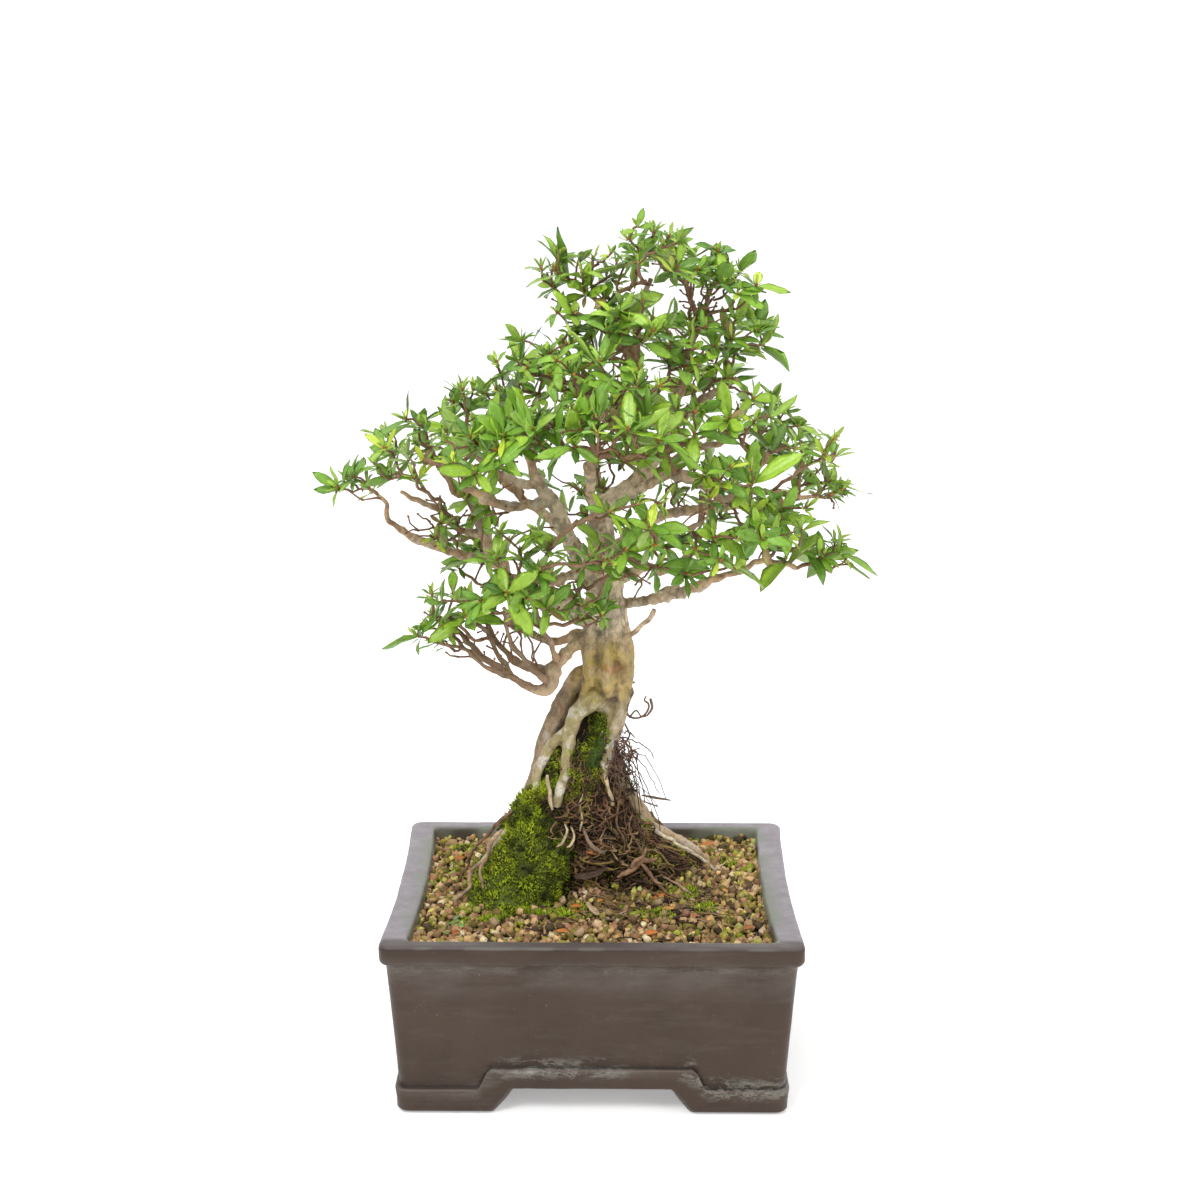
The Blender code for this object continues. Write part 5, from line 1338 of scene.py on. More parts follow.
def fibre_felt(roots, rng):
    """Three kinds of fine root on the ball: short curly fibres that walk about at random, roots that creep
    down, and threads that stand proud at the front."""
    steps = 8
    for k in range(CURLY_FIBRES):
        turn = rng.uniform(-2.3, 0.7) if k % 3 else rng.uniform(*FULL_TURN)
        height = 104 + 104 * rng.uniform()
        walk = np.cumsum(rng.normal(size=(steps, 2)) * (2.4, 2.0) + rng.normal(size=2) * (0.7, 0.8), axis=0)
        off = 0.4 + rng.uniform(0, 3.2) * np.sin(np.linspace(0.2, 2.9, steps))
        heights, turns = np.clip(height + walk[:, 1], 103, 211), turn + walk[:, 0] / 38
        path = lumpy(ROOT_BALL, heights, turns, *BALL_SKIN, off)
        colour = root_colour(rng, 0.5, 1.2)
        roots.add(*tube(path, rng.uniform(0.22, 0.42) * np.linspace(1, 0.7, steps), 4), colour)
    for k in range(CREEPING_ROOTS):
        turn = rng.uniform(-2.1, 0.5) if rng.uniform() < 0.6 else rng.uniform(*FULL_TURN)
        height = 106 + 92 * rng.uniform() ** 0.9
        drop = min(rng.uniform(8, 36), height - 103)
        path = wander(rng, height, turn, drop, rng.normal() * 0.2, rng.uniform(0.0, 2.4), 12, 0.032)
        size = rng.choice([0.35, 0.5, 0.7, 1.0], p=[0.38, 0.34, 0.2, 0.08]) * rng.uniform(0.8, 1.2)
        colour = root_colour(rng, 0.7, 1.15)
        roots.add(*tube(path, size * np.linspace(1, 0.55, len(path)), 5, 0.15, k), colour)
    for k in range(PROUD_THREADS):
        turn, height, drop = rng.uniform(-1.95, -0.35), rng.uniform(118, 174), rng.uniform(-4, 26)
        path = wander(rng, height, turn, drop, rng.normal() * 0.3, rng.uniform(2, 7), 13, 0.045)
        path += 1.2 * noise_vectors(path, 6, 400)
        colour = root_colour(rng, 0.9, 1.3)
        roots.add(*tube(path, rng.uniform(0.4, 0.95) * np.linspace(1, 0.55, len(path)), 6, 0.15, k), colour)


def build_root_ball():
    """A lumpy core of old soil, painted near black as shade in the gaps between the roots, under the felt of
    fine roots, the surface roots and the hanging ones.
    """
    rng = np.random.default_rng(41)
    ball = Mesh()
    points, faces = loft_table(ROOT_BALL, 120, 1.6, *BALL_SKIN)
    # The core runs from near black to dark brown: partly old soil, partly painted shade in the gaps between
    # the roots
    tone = 0.5 + 0.5 * layered(points, 6, 3, 3)[:, None]
    ball.add(points, faces, between((0.012, 0.008, 0.006), (0.065, 0.040, 0.026), tone))
    old_soil_and_gap_shade = tinted_material("old_soil_and_gap_shade", 0.95, 420, 0.5, 1.5, 0.9, 0.0012)
    ball.build("root_ball_core", old_soil_and_gap_shade, "root_ball", ("root_ball",))
    roots = Mesh()
    fibre_felt(roots, rng)
    for colour, rows in SURFACE_ROOTS:
        path, radii = split(spline(rows, 1.5))
        path = path + (1.1 * noise_vectors(path, 8, 5) + 0.5 * noise_vectors(path, 3.5, 9))
        points, faces = tube(path, radii * 0.9, 9, 0.3, 7)
        tone = 1 + 0.5 * layered(points, 4, 13, 2)[:, None]
        roots.add(points, faces, np.asarray(colour) * tone)
    hanging_roots(roots, rng)
    root_finish = tinted_material("old_roots", 0.85, 420, 0.55, 1.45, 0.7, 0.0008)
    roots.build("fine_roots", root_finish, "root_ball", ("root_ball",))


PALE_ROOT, BROWN_ROOT = (0.50, 0.40, 0.24), (0.19, 0.110, 0.062)
PINK_ROOT, GREY_ROOT = (0.36, 0.24, 0.155), (0.27, 0.185, 0.125)
# Thicker roots that lie on the root ball and run out over the soil: colour, then x, y, z and radius
SURFACE_ROOTS = [
    (PINK_ROOT, [
        (-57, -10, 150, 1.0), (-63, -13, 143, 1.7), (-68, -16, 133, 1.3), (-76, -15, 124, 1.6),
        (-77, -19, 115, 1.2), (-84, -21, 109, 1.4), (-86, -27, 106, 0.9),
    ]),
    (PINK_ROOT, [
        (-67, -15, 134, 1.1), (-70, -20, 126, 1.2), (-68, -24, 117, 0.9), (-71, -28, 110, 1.0),
        (-69, -34, 105, 0.6),
    ]),
    (BROWN_ROOT, [
        (-50, 2, 158, 1.2), (-60, 3, 150, 1.3), (-68, 6, 139, 1.1), (-78, 8, 126, 1.2), (-82, 9, 114, 1.0),
        (-88, 8, 105, 0.7),
    ]),
    (PALE_ROOT, [
        (-18, -9, 155, 0.6), (-17, -14, 150, 0.8), (-19, -16, 144, 0.8), (-22, -16, 141, 0.5),
    ]),
    (PALE_ROOT, [
        (-14, -8, 152, 0.6), (-12, -12, 147, 0.8), (-14, -13, 141, 0.8), (-17, -13, 139, 0.5),
    ]),
    (PALE_ROOT, [
        (-28, -6, 184, 1.2), (-28, -9, 176, 1.5), (-27, -12, 169, 1.3), (-26, -13, 164, 0.8),
    ]),
    (GREY_ROOT, [
        (-6, -9, 152, 0.8), (-4, -12, 145, 1.2), (0, -13, 139, 1.5), (5, -12, 136, 1.6),
        (9, -10, 138, 1.0),
    ]),
    (PALE_ROOT, [
        (-7, -6, 172, 0.7), (-9, -9, 165, 0.9), (-7, -11, 157, 0.9), (-8, -12, 150, 0.6),
    ]),
    (PALE_ROOT, [
        (5, 0, 186, 1.2), (9, -4, 178, 1.5), (11, -6, 170, 1.3), (12, -7, 164, 0.9),
    ]),
    (BROWN_ROOT, [
        (12, 0, 172, 0.7), (15, -3, 163, 0.8), (14, -6, 152, 0.7), (19, -8, 143, 0.6), (18, -9, 134, 0.5),
    ]),
    (BROWN_ROOT, [
        (24, -1, 156, 0.7), (22, -4, 148, 0.8), (27, -6, 140, 0.7), (31, -8, 131, 0.7), (29, -9, 124, 0.5),
    ]),
    ((0.26, 0.15, 0.085), [
        (14, -13, 119, 0.8), (19, -13, 122, 1.7), (25, -11, 124, 1.9), (30, -9, 128, 2.3),
        (35, -6, 127, 1.6), (40, -5, 129, 0.7),
    ]),
    ((0.22, 0.125, 0.07), [
        (24, -12, 125, 1.0), (26, -13, 130, 1.5), (31, -11, 133, 1.4), (33, -9, 138, 0.7),
    ]),
    ((0.24, 0.14, 0.08), [
        (29, -10, 127, 1.2), (35, -11, 122, 1.6), (38, -12, 117, 1.2), (43, -12, 114, 0.6),
    ]),
    (BROWN_ROOT, [
        (36, -10, 118, 0.9), (42, -12, 113, 1.1), (47, -17, 110, 0.9), (55, -18, 107, 0.6),
    ]),
    (PINK_ROOT, [
        (42, -6, 118, 0.8), (50, -7, 113, 1.0), (57, -12, 110, 0.8), (66, -13, 107, 0.5),
    ]),
    (BROWN_ROOT, [
        (44, 18, 128, 1.3), (54, 12, 118, 1.6), (60, 6, 110, 1.3), (63, 0, 106, 0.9),
    ]),
    ((0.55, 0.47, 0.34), [
        (30, 9, 152, 1.0), (37, 13, 141, 1.5), (48, 16, 133, 1.4), (58, 20, 125, 1.5), (67, 22, 119, 1.2),
        (74, 26, 112, 1.3), (79, 24, 106, 0.9),
    ]),
    (PINK_ROOT, [
        (-20, 48, 150, 2.2), (-32, 56, 128, 2), (-40, 62, 110, 1.4), (-44, 66, 104, 1),
    ]),
    (BROWN_ROOT, [
        (36, 44, 140, 2.2), (48, 54, 120, 1.8), (54, 60, 107, 1.2),
    ]),
]

# Looped rootlets and short threads in the air at the right: x, y, z and radius
AIR_ROOTS = [
    [
        (19, 9, 224, 0.9), (22, 8, 218, 0.75), (27, 7, 217, 0.7), (32, 6, 220, 0.7), (34, 6, 226, 0.65),
        (31, 6, 229, 0.6), (32, 6, 232, 0.5),
    ],
    [
        (20, 8, 221, 0.8), (21, 7, 228, 0.8), (24, 7, 234, 0.7), (22.5, 7, 239, 0.7), (25, 7, 240, 0.6),
    ],
    [
        (22, 8, 217, 0.6), (26, 7, 222, 0.6), (29, 7, 218, 0.5), (33, 6, 219, 0.6), (36, 6, 224, 0.8),
        (35, 6, 230, 0.9),
    ],
    [
        (19, 9, 213, 0.6), (22, 7, 206, 0.6), (20, 6, 201, 0.6), (24, 5, 197, 0.55), (23, 4, 190, 0.5),
    ],
    [
        (30, 8, 166, 0.5), (36, 5, 166, 0.75), (43, 3, 165.5, 0.7), (48, 2, 165, 0.4),
    ],
    [
        (31, 8, 162, 0.45), (36, 4, 161, 0.6), (40, 3, 160.5, 0.4),
    ],
]


def hanging_roots(roots, rng):
    """Dry root hairs that fall in a curve at the right, a star of short dark hairs on a thread, the looped
    rootlets above them and a tuft of fine curls."""
    steps = 13
    for k in range(16):
        start = np.array((17 + rng.uniform(-4, 5), 2 + rng.uniform(-5, 5), 208 - rng.uniform(0, 34)))
        reach, fall = rng.uniform(8, 24), rng.uniform(14, 62)
        t = np.linspace(0, 1, steps)[:, None]
        path = start + t * (reach, rng.uniform(-6, 4), 0) + t ** 2 * (0, 0, -fall)
        path += t * (0, 0, rng.uniform(-8, 8))
        path[1:] += np.cumsum(rng.normal(size=(steps - 1, 3)) * 0.55, axis=0)
        path[:, 2] = np.maximum(path[:, 2], 118)
        roots.add(*tube(path, rng.uniform(0.3, 0.55) * np.linspace(1, 0.6, steps), 5), DARK_ROOT)
    star = np.array((23.5, -3, 174))
    for k in range(18):
        hair = star + unit(rng.normal(size=3)) * np.linspace(0, 5.0, 4)[:, None]
        roots.add(*tube(hair, [0.55, 0.5, 0.4, 0.25], 5), BLACK_ROOT)
    thread = star + np.linspace(0, 1, 9)[:, None] * (-4, 3, 26)
    thread += np.cumsum(rng.normal(size=(9, 3)) * 0.4, axis=0)
    roots.add(*tube(thread, 0.3, 5), BLACK_ROOT)
    for rows in AIR_ROOTS:
        path, radii = split(spline(rows, 1.6))
        roots.add(*tube(path + 0.45 * noise_vectors(path, 4, 31), radii, 6, 0.2, 3), (0.15, 0.10, 0.07))
    for k in range(70):
        start = np.array((15, 2, 192)) + rng.normal(size=3) * (4, 3.5, 8)
        path = start + np.cumsum(rng.normal(size=(9, 3)) * (1.6, 1.4, 2.0), axis=0)
        size = rng.uniform(0.25, 0.5)
        roots.add(*tube(path, size, 5), np.array((0.17, 0.10, 0.07)) * rng.uniform(0.6, 1.3))


# Moss on the granules: centre, half sizes and number of blades
SOIL_MOSS = (
    ((60, -8), (15, 9), 700), ((66, -32), (11, 6), 260), ((38, -40), (12, 7), 200),
    ((-52, -38), (33, 15), 4200), ((-16, -38), (20, 9), 700), ((82, 42), (12, 8), 200),
    ((-90, 22), (9, 16), 240), ((-84, 70), (14, 7), 260),
)


def mossy(place):
    """How much of the root ball is mossy, from 0 to 1: a strip down from the trunk, the left front, a strip
    on the right, patches low down and patches on the back."""
    x, y, z = place.T
    strip = smooth_step(9.0, 5, np.abs(x - np.interp(z, [160, 182, 205, 214], [-10, -6, 2, 6]))) * (z > 158)
    edge = np.interp(z, [104, 120, 140, 160, 200], [-6, -12, -20, -16, -8]) + 6 * noise(place, 9, 75)
    left = smooth_step(2, -2, x - edge) * smooth_step(207, 197, z)
    right = smooth_step(6, 2, np.abs(x - np.interp(z, [128, 150, 172], [38, 28, 20]))) * (z > 124) * (z < 180)
    low = smooth_step(0.0, 0.3, noise(place, 11, 77)) * 0.6 * (z < 140)
    side = smooth_step(0.05, 0.35, noise(place, 17, 79)) * 0.75 * (y > 10)
    return np.clip((strip + left + right) * (y < 24) + low + side, 0, 1)


def soil_moss(mesh, rng, centre, half, count):
    """Blades on an oval hump on the granules, thinned out by noise towards its edge."""
    angle, out = rng.uniform(0, 6.283, count), np.sqrt(rng.uniform(size=count)) * 1.15
    x, y = centre[0] + np.cos(angle) * out * half[0], centre[1] + np.sin(angle) * out * half[1]
    clump = noise(np.stack([x, y, 0 * x], -1), 6, 33)
    shown = (clump * 0.9 + 1.0 - out > 0.12) & (np.abs(x) < 104) & (np.abs(y) < 86)
    x, y, clump, out = x[shown], y[shown], clump[shown], out[shown]
    z = ground(x, y) + 1.2 + 2.8 * np.clip(1 - out, 0, 1) + 1.4 * clump
    # Painted light: blades on the higher clumps are painted brighter
    light = np.clip(0.8 + 0.6 * clump, 0.25, 1.3)[:, None]
    way = rng.normal(size=(len(x), 3)) * 0.35 + (0, -0.1, 1.0)
    spikes(mesh, np.stack([x, y, z], -1), way, rng, 2.2, 0.75, MOSS_DARK * light, MOSS_BRIGHT * light)


def build_moss():
    """The thick cushion, whose dark body is hidden by its blades, and patches of blades on the root ball and
    on the granules."""
    rng = np.random.default_rng(57)
    moss = tinted_material("cushion_moss", 0.9, 300, 0.75, 1.3, 0.5, 0.0006)
    bank = Mesh()
    points, faces = loft_table(MOSS_BANK, 110, 1.6, *BANK_SKIN)
    tone = np.clip(0.5 + 0.5 * layered(points, 5, 3, 3)[:, None], 0, 1)
    bank.add(points, faces, between((0.045, 0.055, 0.01), (0.12, 0.16, 0.02), tone))
    grow_moss(bank, rng, MOSS_BANK, 19000, (103, 177), BANK_SKIN, 2.5)
    points, faces = loft_table(MOSS_TONGUE, 40, 1.6, *TONGUE_SKIN)
    bank.add(points, faces, (0.05, 0.09, 0.012))
    grow_moss(bank, rng, MOSS_TONGUE, 2600, (159, 221), TONGUE_SKIN, 2.2)
    bank.build("moss_cushion", moss, "moss", ("moss_bank",))
    patches = Mesh()
    grow_moss(patches, rng, ROOT_BALL, 26000, (103, 214), BALL_SKIN, 2.4, mossy)
    for centre, half, count in SOIL_MOSS:
        soil_moss(patches, rng, centre, half, count)
    patches.build("moss_patches", moss, "moss", ("moss_bank",))


GRIT_COLOURS = np.array([
    (0.42, 0.265, 0.105), (0.56, 0.37, 0.18), (0.37, 0.20, 0.095), (0.62, 0.43, 0.25), (0.30, 0.25, 0.05),
    (0.54, 0.47, 0.13), (0.20, 0.12, 0.055), (0.085, 0.055, 0.03), (0.44, 0.23, 0.14), (0.70, 0.58, 0.36),
])
GRIT_SHARES = np.array([0.16, 0.15, 0.12, 0.09, 0.11, 0.09, 0.1, 0.07, 0.06, 0.05])


def round_block():
    """The 26 outer points of a 3 by 3 by 3 grid, drawn most of the way to a ball, and its 24 quads."""
    grid = np.array([(x, y, z) for x in (-1, 0, 1) for y in (-1, 0, 1) for z in (-1, 0, 1)], float)
    outer = np.abs(grid).max(1) > 0
    index = np.cumsum(outer) - 1
    quads = []
    for axis in range(3):
        for sign in (-1, 1):
            u, v = (axis + 1) % 3, (axis + 2) % 3
            for a in (-1, 0):
                for b in (-1, 0):
                    corners = []
                    for da, db in ((0, 0), (1, 0), (1, 1), (0, 1))[::sign]:
                        corner = np.zeros(3)
                        corner[axis], corner[u], corner[v] = sign, a + da, b + db
                        corners.append(index[int((corner + 1) @ (9, 3, 1))])
                    quads.append(corners)
    points = grid[outer]
    return points * 0.42 + unit(points) * 0.5, np.array(quads)


def turned(rng, count):
    """Random turns, from normalised four-number quaternions."""
    w, x, y, z = unit(rng.normal(size=(count, 4))).T
    return np.stack([
        np.stack([1 - 2 * (y * y + z * z), 2 * (x * y - z * w), 2 * (x * z + y * w)], -1),
        np.stack([2 * (x * y + z * w), 1 - 2 * (x * x + z * z), 2 * (y * z - x * w)], -1),
        np.stack([2 * (x * z - y * w), 2 * (y * z + x * w), 1 - 2 * (x * x + y * y)], -1),
    ], 1)


def ground(x, y):
    """Height of the granules' bed: low by the walls, heaped a little towards the roots, with slow waves."""
    flat = np.stack([x, y, 0 * x], -1)
    near = np.exp(-(((x - 5) / 85) ** 2 + ((y - 12) / 60) ** 2))
    return SOIL_TOP - 0.8 + 2.4 * near - 2.2 * smooth_step(45, 80, y) + 0.9 * noise(flat, 24, 5)


GRIT_STEP = 3.4
UPPER_GRAINS = 620
CLIMBING_GRAINS = 420
BED_HALF = (POT_INSIDE[0] - 1.6, POT_INSIDE[1] - 1.6)
BED_BOTTOM = 60


def outside_oval(x, y, centre, half):
    """Whether each place lies outside an oval on the ground."""
    return ((x - centre[0]) / half[0]) ** 2 + ((y - centre[1]) / half[1]) ** 2 > 1


def grain_places(rng):
    """Places and sizes of the granules: a jittered grid over the bed, some more on top of it, none under the
    root ball or the moss, and a ring of them that climbs the ball's foot."""
    half_x, half_y = BED_HALF
    x, y = np.meshgrid(np.arange(-half_x, half_x, GRIT_STEP), np.arange(-half_y, half_y, GRIT_STEP))
    x, y = x.ravel(), y.ravel()
    x, y = x + rng.uniform(-1.5, 1.5, len(x)), y + rng.uniform(-1.5, 1.5, len(y))
    extra = rng.integers(len(x), size=UPPER_GRAINS)
    layer = np.repeat([0.0, 1.0], [len(x), UPPER_GRAINS])
    x, y = np.concatenate([x, x[extra] + 1.7]), np.concatenate([y, y[extra] + 1.7])
    x, y = np.clip(x, -half_x, half_x), np.clip(y, -half_y, half_y)
    shown = outside_oval(x, y, (7.5, 25), (64, 31.5)) & outside_oval(x, y, (-45, -6.5), (34, 28))
    x, y, layer = x[shown], y[shown], layer[shown]
    turn, up = rng.uniform(-np.pi, np.pi, CLIMBING_GRAINS), rng.uniform(0, 1, CLIMBING_GRAINS) ** 1.6
    foot = lumpy(ROOT_BALL, 105.5 + 9 * up, turn, *BALL_SKIN, 1.0 + 3.5 * (1 - up))
    foot = foot[outside_oval(foot[:, 0], foot[:, 1], (-48, -6), (30, 28))]
    x, y = np.concatenate([x, foot[:, 0]]), np.concatenate([y, foot[:, 1]])
    layer = np.concatenate([layer, np.zeros(len(foot))])
    count = len(x)
    size = (1.2 + 1.4 * rng.uniform(size=count) ** 1.3) * np.where(rng.uniform(size=count) < 0.06, 1.3, 1)
    z = ground(x, y) + size * 0.4 + rng.uniform(-1.0, 1.0, count) + layer * 2.4
    z[-len(foot):] = foot[:, 2]
    return np.stack([x, y, z], -1), size


def grain_colours(rng, places):
    """A clay colour for each granule, darker where it is damp by the roots and mossy in places."""
    count = len(places)
    x, y = places[:, 0], places[:, 1]
    share = rng.uniform(size=(count, 1))
    kind = rng.choice(len(GRIT_COLOURS), count, p=GRIT_SHARES)
    colour = GRIT_COLOURS[kind] * rng.uniform(0.6, 1.42, (count, 1))
    damp = smooth_step(70, 40, np.hypot(x - 20, (y + 5) * 1.2))[:, None] * (share < 0.45)
    colour = colour * (1 - 0.5 * damp)
    green = (noise(places, 20, 7)[:, None] > 0.1) & (share > 0.72)
    return np.where(green, colour * (0.72, 0.95, 0.45), colour)


def build_grit():
    """Each granule is a round block with its corners moved, squeezed along its axes, turned and set down."""
    rng = np.random.default_rng(83)
    places, size = grain_places(rng)
    count = len(places)
    block, quads = round_block()
    uneven = 1 + 0.17 * rng.normal(size=(count, len(block), 1))
    squeezed = rng.uniform(0.72, 1.25, (count, 1, 3))
    shape = block[None] * uneven * squeezed
    points = np.einsum("nij,nkj->nki", turned(rng, count), shape) * size[:, None, None] + places[:, None]
    faces = (quads[None] + (np.arange(count) * len(block))[:, None, None]).reshape(-1, 4)
    mesh = Mesh()
    mesh.add(points, [faces], np.repeat(grain_colours(rng, places), len(block), 0))
    grit = tinted_material("fired_clay_grit", 0.92, 620, 0.6, 1.35, 0.8, 0.0007)
    mesh.build("soil_granules", grit, "soil", ("soil",))


def build_soil_bed():
    """The dark fines under the granules, darkened as painted shade in the gaps between them: a slab whose top
    follows the ground's height, with fine lumps.
    """
    half_x, half_y = BED_HALF
    x, y = np.meshgrid(np.linspace(-half_x, half_x, 121), np.linspace(-half_y, half_y, 101), indexing="ij")
    place = np.stack([x, y, ground(x, y) - 0.9], -1)
    place[..., 2] += 0.5 * layered(place, 5, 91, 3)
    points, grid = place.reshape(-1, 3), np.arange(x.size).reshape(x.shape)
    edge = np.concatenate([grid[:-1, 0], grid[-1, :-1], grid[:0:-1, -1], grid[0, :0:-1]])
    foot = x.size + np.arange(len(edge))
    after = np.roll(np.arange(len(edge)), -1)
    walls = np.stack([edge, foot, foot[after], edge[after]], -1)[:, ::-1]
    floor = np.stack([np.full(len(edge), x.size + len(edge)), foot, foot[after]], -1)[:, ::-1]
    low = (0, 0, BED_BOTTOM)
    points = np.concatenate([points, points[edge] * (1, 1, 0) + low, [low]])
    mesh = Mesh()
    # The bed is partly dark fines and partly painted shade seen in the gaps between the granules
    mesh.add(points, [grid_quads(grid), walls, floor], (0.045, 0.028, 0.016))
    fines = tinted_material("fines_and_gap_shade", 0.95, 480, 0.4, 1.7, 0.9, 0.001)
    mesh.build("soil_bed", fines, "soil", ("soil",))


def plate(mesh, centre, turn, length, width, thick, bend, colour, seed, tilt=0.0):
    """A flake of bark or wood: an oval sheet bent along its length, with ragged edges and two faces."""
    rows, cols = 15, 7
    u, v = np.linspace(-1, 1, rows)[:, None], np.linspace(-1, 1, cols)[None, :]
    half = np.sqrt(np.clip(1 - np.abs(u) ** 2.6, 0.004, 1))
    x, y = length * u + 0 * v, width * half * v
    lift = bend * (u ** 2 - 0.4) * length + 0.12 * width * (1 - v ** 2) + tilt * u * length
    flat = np.stack([x, y, lift], -1)
    flat += 0.05 * length * layered(flat, length * 0.45, seed, 3)[..., None] * (0.4, 1, 0.8)
    low = flat[1:-1, 1:-1] - (0, 0, thick)
    grid = np.arange(rows * cols).reshape(rows, cols)
    under = grid.copy()
    under[1:-1, 1:-1] = rows * cols + np.arange(low.shape[0] * low.shape[1]).reshape(low.shape[:2])
    points = np.concatenate([flat.reshape(-1, 3), low.reshape(-1, 3)])
    c, s = math.cos(turn), math.sin(turn)
    points = points @ np.array([(c, s, 0), (-s, c, 0), (0, 0, 1)]) + np.asarray(centre)
    tone = 1 + 0.4 * layered(points * (1, 1, 2), 3.5, seed, 3)[:, None]
    mesh.add(points, [grid_quads(grid), grid_quads(under)[:, ::-1]], np.asarray(colour) * tone)


CHIP_COLOURS = np.array([(0.26, 0.17, 0.11), (0.15, 0.10, 0.08), (0.44, 0.31, 0.20)])
STRAWS, SPREAD_STRAWS = 230, 90
# Fallen leaves: x, y, turn and size
FALLEN = np.array([
    (30, -74, 0.5, 0.9), (60, -52, 1.4, 0.9), (50, -36, 3.0, 0.8), (-15, -36, 0.2, 0.8), (-8, -42, 2.9, 0.8),
    (2, -30, 1.0, 0.6), (-22, -68, 0.1, 0.8), (-83, -76, 1.2, 0.8), (62, 34, 2.6, 0.8), (47, -20, 2.9, 1.0),
    (90, -64, 0.7, 0.7), (84, -12, 2.1, 0.7), (-92, 42, 0.6, 0.8), (20, 76, 1.1, 0.9), (-50, 66, 2.4, 0.8),
    (70, 70, 0.2, 0.8), (-96, -20, 1.9, 0.6), (34, -56, 2.2, 0.6),
])
FALLEN_COLOURS = np.array([(0.58, 0.16, 0.03), (0.42, 0.11, 0.03), (0.60, 0.26, 0.06)])
# Green leaves of a seedling in the soil: x, y, z, turn and length
SEEDLING = np.array([
    (-88, -60, 108.5, 0.4, 10), (-80, -66, 108.0, 2.2, 9), (-84, -56, 109, 1.2, 8),
    (-90, -68, 107.5, -0.8, 7), (-76, -62, 109, 3.4, 8),
])


def height_at(x, y):
    """The ground's height at one place."""
    return float(ground(np.array(x), np.array(y)))


def scatter_chips(bark, rng):
    """Small flakes in a loose ring round the roots."""
    for k in range(34):
        angle, out = rng.uniform(0, 6.28), rng.uniform(0.72, 1.25)
        x, y = 12 + 62 * out * math.cos(angle), 6 + 50 * out * math.sin(angle)
        if abs(x) > 100 or abs(y) > 82 or (x < -20 and abs(y + 8) < 34):
            continue
        tone = CHIP_COLOURS[rng.integers(len(CHIP_COLOURS))]
        turn, length, width = rng.uniform(0, 3.14), rng.uniform(2.5, 6), rng.uniform(0.9, 2)
        bend, tilt = rng.normal() * 0.1, rng.normal() * 0.12
        plate(bark, (x, y, height_at(x, y) + 3.0), turn, length, width, 0.7, bend, tone, 10 + k, tilt)


def scatter_straws(bark, rng):
    """Short bent straws, some all over the bed and most in front of the roots."""
    for k, (a, b, c, d) in enumerate(rng.uniform(size=(STRAWS, 4))):
        x, y = (-98 + 196 * a, -82 + 164 * b) if k < SPREAD_STRAWS else (-34 + 110 * a, -58 + 52 * b)
        if not (outside_oval(x, y, (7, 25), (60, 30)) and outside_oval(x, y, (-45, -6), (34, 28))):
            continue
        way = np.array((math.cos(c * 6.28), math.sin(c * 6.28), 0.05))
        path = (x, y, height_at(x, y) + 3.5) + way * np.linspace(-1, 1, 5)[:, None] * (3 + 6 * d)
        path[:, 2] += np.array([-1.0, 0, 0.3, 0, -1.0])
        bark.add(*tube(path, 0.3 + 0.25 * d, 5, 0.2), ROOT_COLOURS[int(d * 6.9)])


def headings(turn, lift):
    """Directions turned about the upright by turn, with the tip lifted."""
    return np.stack([np.cos(turn), np.sin(turn), np.full(len(turn), lift)], -1)


def lay_leaves(litter, places, way, up, sizes, colour):
    """Leaves on the soil; the way up, the colour and each of length, width, fold and droop may be one value
    for all of them."""
    count = len(places)
    sizes = [np.full(count, value, float) for value in sizes]
    add_leaves(litter, places, way, np.tile(up, (count, 1)), *sizes, np.full((count, 3), colour, float))


def build_litter(leaf_finish):
    """Bark plates, a pale chip, straws and dropped leaves that lie on the soil."""
    rng = np.random.default_rng(97)
    bark = Mesh()
    plate(bark, (-2, -14.5, 123.0), 0.15, 10.5, 6.2, 1.3, 0.12, (0.105, 0.064, 0.042), 1, 0.25)
    plate(bark, (55, -4, 112.0), -0.3, 8.5, 1.2, 1.0, 0.10, (0.30, 0.11, 0.07), 2, -0.1)
    plate(bark, (0, -40, 110.2), -1.1, 8.5, 2.4, 1.1, 0.06, (0.50, 0.36, 0.22), 3, -0.12)
    scatter_chips(bark, rng)
    scatter_straws(bark, rng)
    dead_bark = tinted_material("dead_bark", 0.85, 380, 0.6, 1.4, 0.7, 0.0007, (1, 1, 0.4))
    bark.build("bark_pieces", dead_bark, "chip", ("bark_chip_large", "bark_chip_long", "wood_chip"))
    litter = Mesh()
    x, y, turn, scale = FALLEN.T
    places = np.stack([x, y, ground(x, y) + 4.2], -1)
    sizes = (11.5 * scale, 2.9 * scale, 0.6, rng.uniform(-0.5, 0.5, len(x)))
    colours = FALLEN_COLOURS[np.arange(len(x)) % 3]
    lay_leaves(litter, places, headings(turn, -0.08), (0.1, -0.3, 1.0), sizes, colours)
    way, sizes = headings(SEEDLING[:, 3], 0.15), (SEEDLING[:, 4], 1.6, 0.4, 0.2)
    lay_leaves(litter, SEEDLING[:, :3], way, (0, -0.2, 1.0), sizes, (0.13, 0.26, 0.06))
    on_roots, way = np.array([(-5, -11, 135)]), np.array([(1.0, 0.05, -0.05)])
    lay_leaves(litter, on_roots, way, (0, -0.6, 1.0), (11.0, 1.9, 0.5, 0.3), (0.50, 0.14, 0.03))
    litter.build("fallen_leaves", leaf_finish, "chip", ("bark_chip_long",))


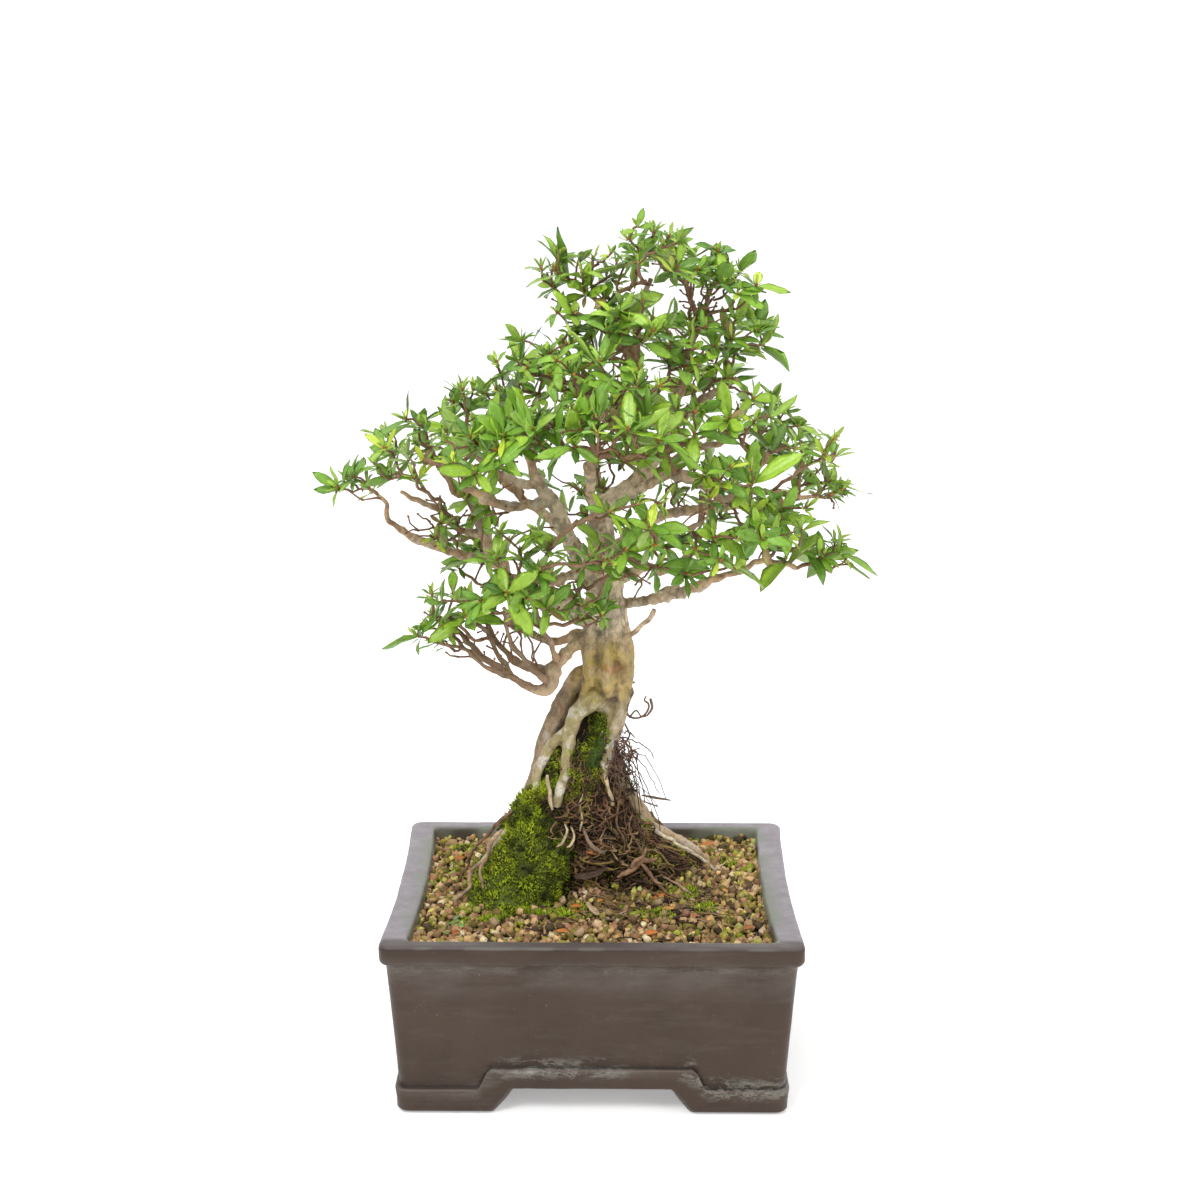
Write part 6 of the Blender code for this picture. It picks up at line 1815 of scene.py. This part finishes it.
def finish_kept_nodes():
    """Materials for the CAD nodes that stay: woven black net for the drain meshes, dull bronze for the wires
    that hold them."""
    net = new_material("black_net", 0.5, 0.4)
    n = Nodes(net)
    weave = n.cells(900, "SMOOTH_F1")
    black = n.mix(n.spread(weave, 0.1, 0.6), (0.012, 0.012, 0.012), (0.03, 0.03, 0.03))
    n.finish(black, None, weave, 0.3, 0.0003)
    wire = new_material("bronze_wire", 0.4, 0.5)
    n = Nodes(wire)
    n.shader.inputs["Metallic"].default_value = 1.0
    dull = n.noise(300, 5)
    bronze = n.mix(n.spread(dull, 0.35, 0.65), (0.22, 0.12, 0.06), (0.38, 0.24, 0.15))
    n.finish(bronze, n.spread(dull, 0.3, 0.7, 0.3, 0.6))
    for side in ("left", "right"):
        for name, material in (("drain_mesh_" + side, net), ("mesh_wire_" + side, wire)):
            data = bpy.data.objects[name].data
            data.materials.clear()
            data.materials.append(material)


# Stage, lights and camera

CAMERA_TILT = 14.98
CAMERA_PAN = 0.597


def build_stage():
    """A floor that sweeps up into a backdrop along a quarter circle, all in one pale paper."""
    paper = new_material("white_paper", 0.9, 0.1)
    n = Nodes(paper)
    n.finish(n.mix(n.spread(n.noise(5, 2), 0.3, 0.7), (0.93, 0.93, 0.93), (0.95, 0.95, 0.95)))
    n.shader.inputs["Emission Color"].default_value = (1, 1, 1, 1)
    n.shader.inputs["Emission Strength"].default_value = 0.32
    turn = np.linspace(0, np.pi / 2, 24)
    arc = np.stack([2600 + 900 * np.sin(turn), 900 - 900 * np.cos(turn)], -1)
    y, z = np.concatenate([[(-9000, 0)], arc, [(3500, 6000)]]).T[:, :, None]
    x = np.linspace(-9000, 9000, 3)[None]
    points = np.stack(np.broadcast_arrays(x, y, z), -1)
    index = np.arange(points.shape[0] * 3).reshape(-1, 3)
    faces = np.stack([index[:-1, :-1], index[:-1, 1:], index[1:, 1:], index[1:, :-1]], -1).reshape(-1, 4)
    data = plain_mesh("paper_sweep", points.reshape(-1, 3), [faces])
    data.polygons.foreach_set("use_smooth", np.ones(len(faces), bool))
    data.materials.append(paper)
    sweep = link_object("paper_sweep", data)


def area_light(name, place, target, size, power):
    """A white disc of light at a place in metres, aimed at a target."""
    data = bpy.data.lights.new(name, "AREA")
    data.shape, data.size, data.energy = "DISK", size, power
    lamp = link_object(name, data)
    lamp.location = place
    lamp.rotation_euler = (Vector(target) - Vector(place)).to_track_quat("-Z", "Y").to_euler()


def light_scene():
    """A white room with a key light at the left front, a fill at the right and a soft one overhead."""
    scene = bpy.context.scene
    scene.view_settings.view_transform = "Standard"
    world = bpy.data.worlds.new("white_room")
    scene.world = world
    world.use_nodes = True
    background = world.node_tree.nodes["Background"]
    background.inputs["Color"].default_value = (1, 1, 1, 1)
    background.inputs["Strength"].default_value = 0.62
    area_light("key", (-0.7, -1.2, 1.7), (0, 0, 0.25), 0.7, 20)
    area_light("fill", (1.3, -0.9, 1.0), (0, 0, 0.2), 1.0, 7)
    area_light("top", (0.1, 0.35, 2.1), (0, 0, 0.3), 1.0, 13)


def place_camera():
    """The camera in the photo's place: a little to the right of the middle, looking down by CAMERA_TILT."""
    data = bpy.data.cameras.new("camera")
    data.lens, data.sensor_width, data.sensor_fit = 58.09, 36.0, "HORIZONTAL"
    data.clip_start, data.clip_end = 0.01, 50
    camera = link_object("camera", data)
    camera.location = (0.0157, -1.1334, 0.598)
    camera.rotation_euler = (math.radians(90 - CAMERA_TILT), 0, math.radians(CAMERA_PAN))
    bpy.context.scene.camera = camera


def main():
    """Build every piece from the pot up, then the stage and its light."""
    place_camera()
    build_pot()
    curves = [gnarled(spline(rows, 1.4), 1.6) for rows in LIMBS.values()]
    bark = bark_material()
    build_wood(curves, bark)
    thin = thin_limbs(curves)
    leaves, buds = build_crown(curves, thin)
    thin.build("limbs_and_twigs", bark, "bark", ("trunk",))
    leaf_finish = leaf_material()
    shoots = tuple("shoot_" + name for name in FOLIAGE)
    for name, mesh in zip(LEAF_PIECES, leaves):
        mesh.build(name, leaf_finish, "leaf", shoots)
    buds.build("buds", tinted_material("bud_scales", 0.5, 700, 0.85, 1.2, 0.3, 0.0003), "leaf", shoots)
    build_root_ball()
    build_moss()
    build_grit()
    build_soil_bed()
    build_litter(leaf_finish)
    finish_kept_nodes()
    build_stage()
    light_scene()


main()
